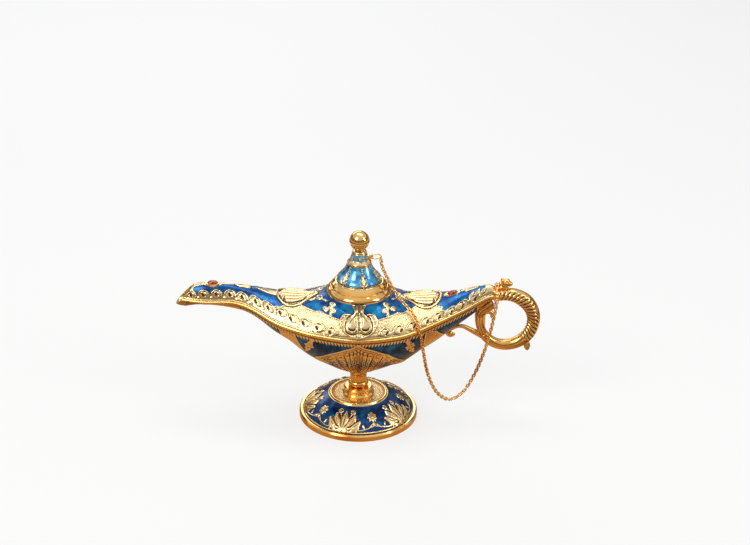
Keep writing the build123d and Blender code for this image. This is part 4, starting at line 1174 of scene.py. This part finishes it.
# bars: radius and the share of it at parts of the length
grip = {
    "radius": 3.9, "shares": ((0, 0.90), (0.22, 1.12), (0.42, 0.98), (0.62, 0.92), (0.8, 0.82), (1, 0.72)),
    "along": 300, "around": 84, "ridgePitch": 2.3, "ridgeTo": 0.60, "plainBack": 0.20,
}
strut = {"radius": 2.5, "shares": ((0, 1.0), (0.5, 1.0), (0.75, 1.2), (1, 1.42)), "along": 150, "around": 96}
tassel = {
    "radius": 1.0, "shares": ((0, 1.2), (0.08, 1.75), (0.16, 1.85), (0.24, 1.15), (0.34, 1.55), (0.62, 1.95),
                              (0.84, 1.45), (1, 0.55)),
    "along": 90, "around": 80, "line": ((95.3, 48.9), (95.9, 41.5)),
}


def clockwiseBend(start, heading, radius, sweep, steps):
    # points of a bend to the right in the upright middle plane, and the heading at its end
    right = np.array((heading[1], -heading[0]))
    centre = np.asarray(start) + right * radius
    turns = np.radians(np.linspace(0, sweep, steps))
    spoke = -right
    cos, sin = np.cos(-turns), np.sin(-turns)
    around = np.column_stack((spoke[0] * cos - spoke[1] * sin, spoke[0] * sin + spoke[1] * cos))
    end = (heading[0] * cos[-1] - heading[1] * sin[-1], heading[0] * sin[-1] + heading[1] * cos[-1])
    return centre + around * radius, np.array(end)


def handleLines():
    turn = math.radians(handle["startAngle"])
    place = np.array(handle["middle"]) + handle["bends"][0][0] * np.array((math.cos(turn), math.sin(turn)))
    heading = np.array((math.sin(turn), -math.cos(turn)))
    bends = []
    for radius, sweep, steps in handle["bends"]:
        points, heading = clockwiseBend(place, heading, radius, sweep, steps)
        bends.append(points)
        place = points[-1]
    big, low, long, top = bends
    run = np.array([place + heading * handle["runLength"] * share for share in np.linspace(0, 1, 20)])
    return np.vstack((big, low[1:])), np.vstack((long, top[1:], run[1:]))


def evenLine(line, count):
    steps = travelled(line)
    even = np.linspace(0, steps[-1], count)
    points = np.column_stack([np.interp(even, steps, line[:, axis]) for axis in range(line.shape[1])])
    return points, steps[-1]


def sweptBar(name, bar, line, carve, replaced):
    points, length = evenLine(line, bar["along"])
    heading = np.gradient(points, axis=0)
    heading /= np.linalg.norm(heading, axis=1, keepdims=True)
    outer = np.column_stack((-heading[:, 1], heading[:, 0]))  # the outer side of a bend to the right
    turns = np.linspace(0, 2 * np.pi, bar["around"], endpoint=False)
    turn, part = np.meshgrid(turns, np.linspace(0, 1, bar["along"]), indexing="ij")
    relief = newRelief(turn, part * length, 1.0)
    carve(relief, turn, part, length)
    settleRelief(relief)
    relief["metal"][:] = 1
    reach = bar["radius"] * np.interp(part, *zip(*bar["shares"])) + relief["height"]
    out = outer[None] * np.cos(turn)[..., None]
    normals = np.stack((out[..., 0], -np.sin(turn), out[..., 1]), -1)
    middle = np.stack((points[:, 0], points[:, 0] * 0, points[:, 1]), -1)[None]
    points = middle + normals * reach[..., None]
    piece = skinPiece(name, points, normals, relief, "lamp", "bars", closed=True, skirt=0)
    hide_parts(replaced)


def carveGrip(relief, turn, part, length):
    folded = np.abs((turn + np.pi) % (2 * np.pi) - np.pi) / np.pi
    ridge = np.abs(np.sin(np.pi * (part * length / grip["ridgePitch"] + folded * 2.6))) ** 0.8
    fade = np.clip((grip["ridgeTo"] - part) / 0.03, 0, 1) * np.clip((folded - grip["plainBack"]) / 0.08, 0, 1)
    cut = np.clip(1 - np.abs(folded - 1.0) / 0.05, 0, 1)
    relief["height"] = -0.10 + fade * (-0.55 + 0.60 * ridge) - 0.25 * cut * fade
    relief["shade"] = np.maximum(fade * np.clip(1 - ridge * 2.2, 0, 1), 0.8 * cut * fade)


def carveStrut(relief, turn, part, length):
    flute = np.abs(np.sin(turn * 4)) ** 0.7
    relief["height"] = -0.35 + 0.35 * flute
    relief["shade"] = np.clip(1 - flute * 2.0, 0, 1) * 0.9


def carveTassel(relief, turn, part, length):
    flute = np.abs(np.sin(turn * 5 + part * 2.2)) ** 0.7
    fade = np.clip((part - 0.22) / 0.06, 0, 1)
    relief["height"] = -0.30 * fade * (1 - flute)
    relief["shade"] = fade * np.clip(1 - flute * 1.8, 0, 1)


gripLine, strutLine = handleLines()
sweptBar("grip_braided", grip, gripLine, carveGrip, "handle_grip")
sweptBar("strut_fluted", strut, strutLine, carveStrut, "handle_strut")
sweptBar("tassel_fluted", tassel, np.array(tassel["line"]), carveTassel, "handle_tassel")

head = {
    # lumps of the small beast's head: place, radii in mm; what is beside the middle is there on both sides
    "lumps": (((80.2, 0, 81.3), (2.3, 2.3, 1.8)), ((81.6, 0, 83.2), (2.9, 2.45, 2.5)),
              ((84.1, 0, 83.3), (1.8, 1.6, 1.5)), ((82.6, 0, 85.2), (1.8, 1.7, 1.1)),
              ((80.2, 1.5, 85.2), (0.9, 0.6, 1.2)), ((83.0, 1.75, 84.4), (0.6, 0.5, 0.5)),
              ((82.6, 1.7, 82.3), (1.3, 0.8, 0.7)), ((79.0, 0, 83.4), (0.8, 1.3, 1.3)),
              ((85.2, 0.6, 83.9), (0.45, 0.45, 0.45))),
    "voxel": 0.17, "smooth": 4,
}


def ball(place, rings, radius=1.0):
    bpy.ops.mesh.primitive_uv_sphere_add(segments=32, ring_count=rings, radius=radius,
                                         location=[v * mm for v in place])
    return bpy.context.object


def modify(piece, kind, setting, value):
    bpy.ops.object.modifier_add(type=kind)
    setattr(piece.modifiers[-1], setting, value)
    bpy.ops.object.modifier_apply(modifier=piece.modifiers[-1].name)


def finishCast(piece, name):
    piece.name = name
    bpy.ops.object.shade_smooth()
    piece.data.materials.append(finish[handle["castLook"]])
    bpy.ops.object.select_all(action="DESELECT")
    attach(piece, "lamp")


def makeHead():
    parts = []
    for (x, y, z), radii in head["lumps"]:
        for side in (y, -y) if y else (0,):
            parts.append(ball((x, side, z), 16))
            parts[-1].scale = [r * mm for r in radii]
    for lump in parts:
        lump.select_set(True)
    bpy.context.view_layer.objects.active = parts[0]
    bpy.ops.object.transform_apply(location=True, rotation=True, scale=True)
    bpy.ops.object.join()
    piece = bpy.context.object
    modify(piece, "REMESH", "voxel_size", head["voxel"] * mm)
    modify(piece, "SMOOTH", "iterations", head["smooth"])
    finishCast(piece, "beast_head")
    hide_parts("handle_head")


def makeKnob():
    knob = ball(handle["knobPlace"], 18, handle["knobRadius"] * mm)
    bpy.ops.object.transform_apply(location=True, rotation=True, scale=True)
    finishCast(knob, "tendril_knob")


makeHead()
makeKnob()
print("handle made")

# chain of real links along one smooth line
chain = {
    "route": ((11.9, -0.4, 98.9), (12.3, -2.0, 94.8), (15.0, -4.4, 90.0), (18.2, -7.2, 84.6),
              (22.6, -10.2, 78.2), (27.6, -14.0, 74.6), (31.6, -19.6, 71.4), (34.2, -24.2, 64.6),
              (36.0, -24.2, 52.0), (38.6, -22.0, 37.0), (43.8, -18.4, 23.4), (51.6, -13.8, 15.4),
              (59.8, -9.8, 18.6), (66.2, -7.4, 29.4), (71.0, -6.4, 43.0), (74.6, -5.9, 57.0),
              (77.0, -5.7, 73.4)),
    "linkLength": 3.2, "linkWidth": 2.3, "wire": 0.38, "pitch": 1.68, "across": 6, "around": 16, "tilt": 45,
    "routeSteps": 24, "headingReach": 0.8, "blendFrom": (34.2, -24.2, 64.6), "blendTo": (11.9, -0.4, 98.9),
}


def smoothLine(route):
    data = bpy.data.curves.new("chainRoute", "CURVE")
    data.dimensions = "3D"
    data.resolution_u = chain["routeSteps"]
    spline = data.splines.new("NURBS")
    spline.points.add(len(route) - 1)
    for point, place in zip(spline.points, route):
        point.co = (*[v * mm for v in place], 1)
    spline.order_u = 3
    spline.use_endpoint_u = True
    holder = bpy.data.objects.new("chainRoute", data)
    bpy.context.collection.objects.link(holder)
    bpy.context.view_layer.update()
    mesh = bpy.data.meshes.new_from_object(holder)
    points = np.array([v.co[:] for v in mesh.vertices])
    bpy.data.objects.remove(holder)
    bpy.data.curves.remove(data)
    bpy.data.meshes.remove(mesh)
    return points


def linkPoints():
    straight = chain["linkLength"] / 2 - chain["linkWidth"] / 2
    wire = chain["wire"]
    radius = chain["linkWidth"] / 2 - wire
    up = Vector((0, 0, 1))
    points = []
    for index in range(chain["around"]):
        turn = 2 * math.pi * index / chain["around"]
        x, y = math.cos(turn), math.sin(turn)
        centre, out = Vector((math.copysign(straight, x) + radius * x, radius * y, 0)), Vector((x, y, 0))
        for step in range(chain["across"]):
            tip = 2 * math.pi * step / chain["across"]
            points.append(centre + out * math.cos(tip) * wire + up * math.sin(tip) * wire)
    return points


def linkFaces(start):
    wide, high = chain["around"], chain["across"]
    for i in range(wide):
        a, b = start + i * high, start + (i + 1) % wide * high
        for j, k in zip(range(high), (*range(1, high), 0)):
            yield a + j, b + j, b + k, a + k


def makeChain():
    line = smoothLine(chain["route"]) / mm
    steps = travelled(line)
    length = steps[-1]
    count = int(length / chain["pitch"])
    reach = chain["headingReach"]
    pattern = linkPoints()
    points, faces = [], []
    side = Vector((0, 1, 0))
    for index in range(count):
        at = (index + 0.5) * length / count
        marks = [min(max(at + off, 0), length) for off in (0, reach, -reach)]
        place, ahead, behind = (Vector([np.interp(mark, steps, line[:, axis]) for axis in range(3)])
                                for mark in marks)
        heading = (ahead - behind).normalized()
        side = (side - heading * side.dot(heading)).normalized()
        other = heading.cross(side)
        turn = math.radians(chain["tilt"] if index % 2 else -chain["tilt"])
        flat = side * math.cos(turn) + other * math.sin(turn)
        tall = other * math.cos(turn) - side * math.sin(turn)
        faces += linkFaces(len(points))
        points += [(place + heading * p.x + flat * p.y + tall * p.z) * mm for p in pattern]
    piece, mesh = newPiece("chain_links", points, faces, "wire")
    cleanMesh(mesh, facesOut)
    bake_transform(piece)
    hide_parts("chain_on_lid", "chain_hanging")
    print("chain", round(length, 1), "mm,", count, "links")


makeChain()
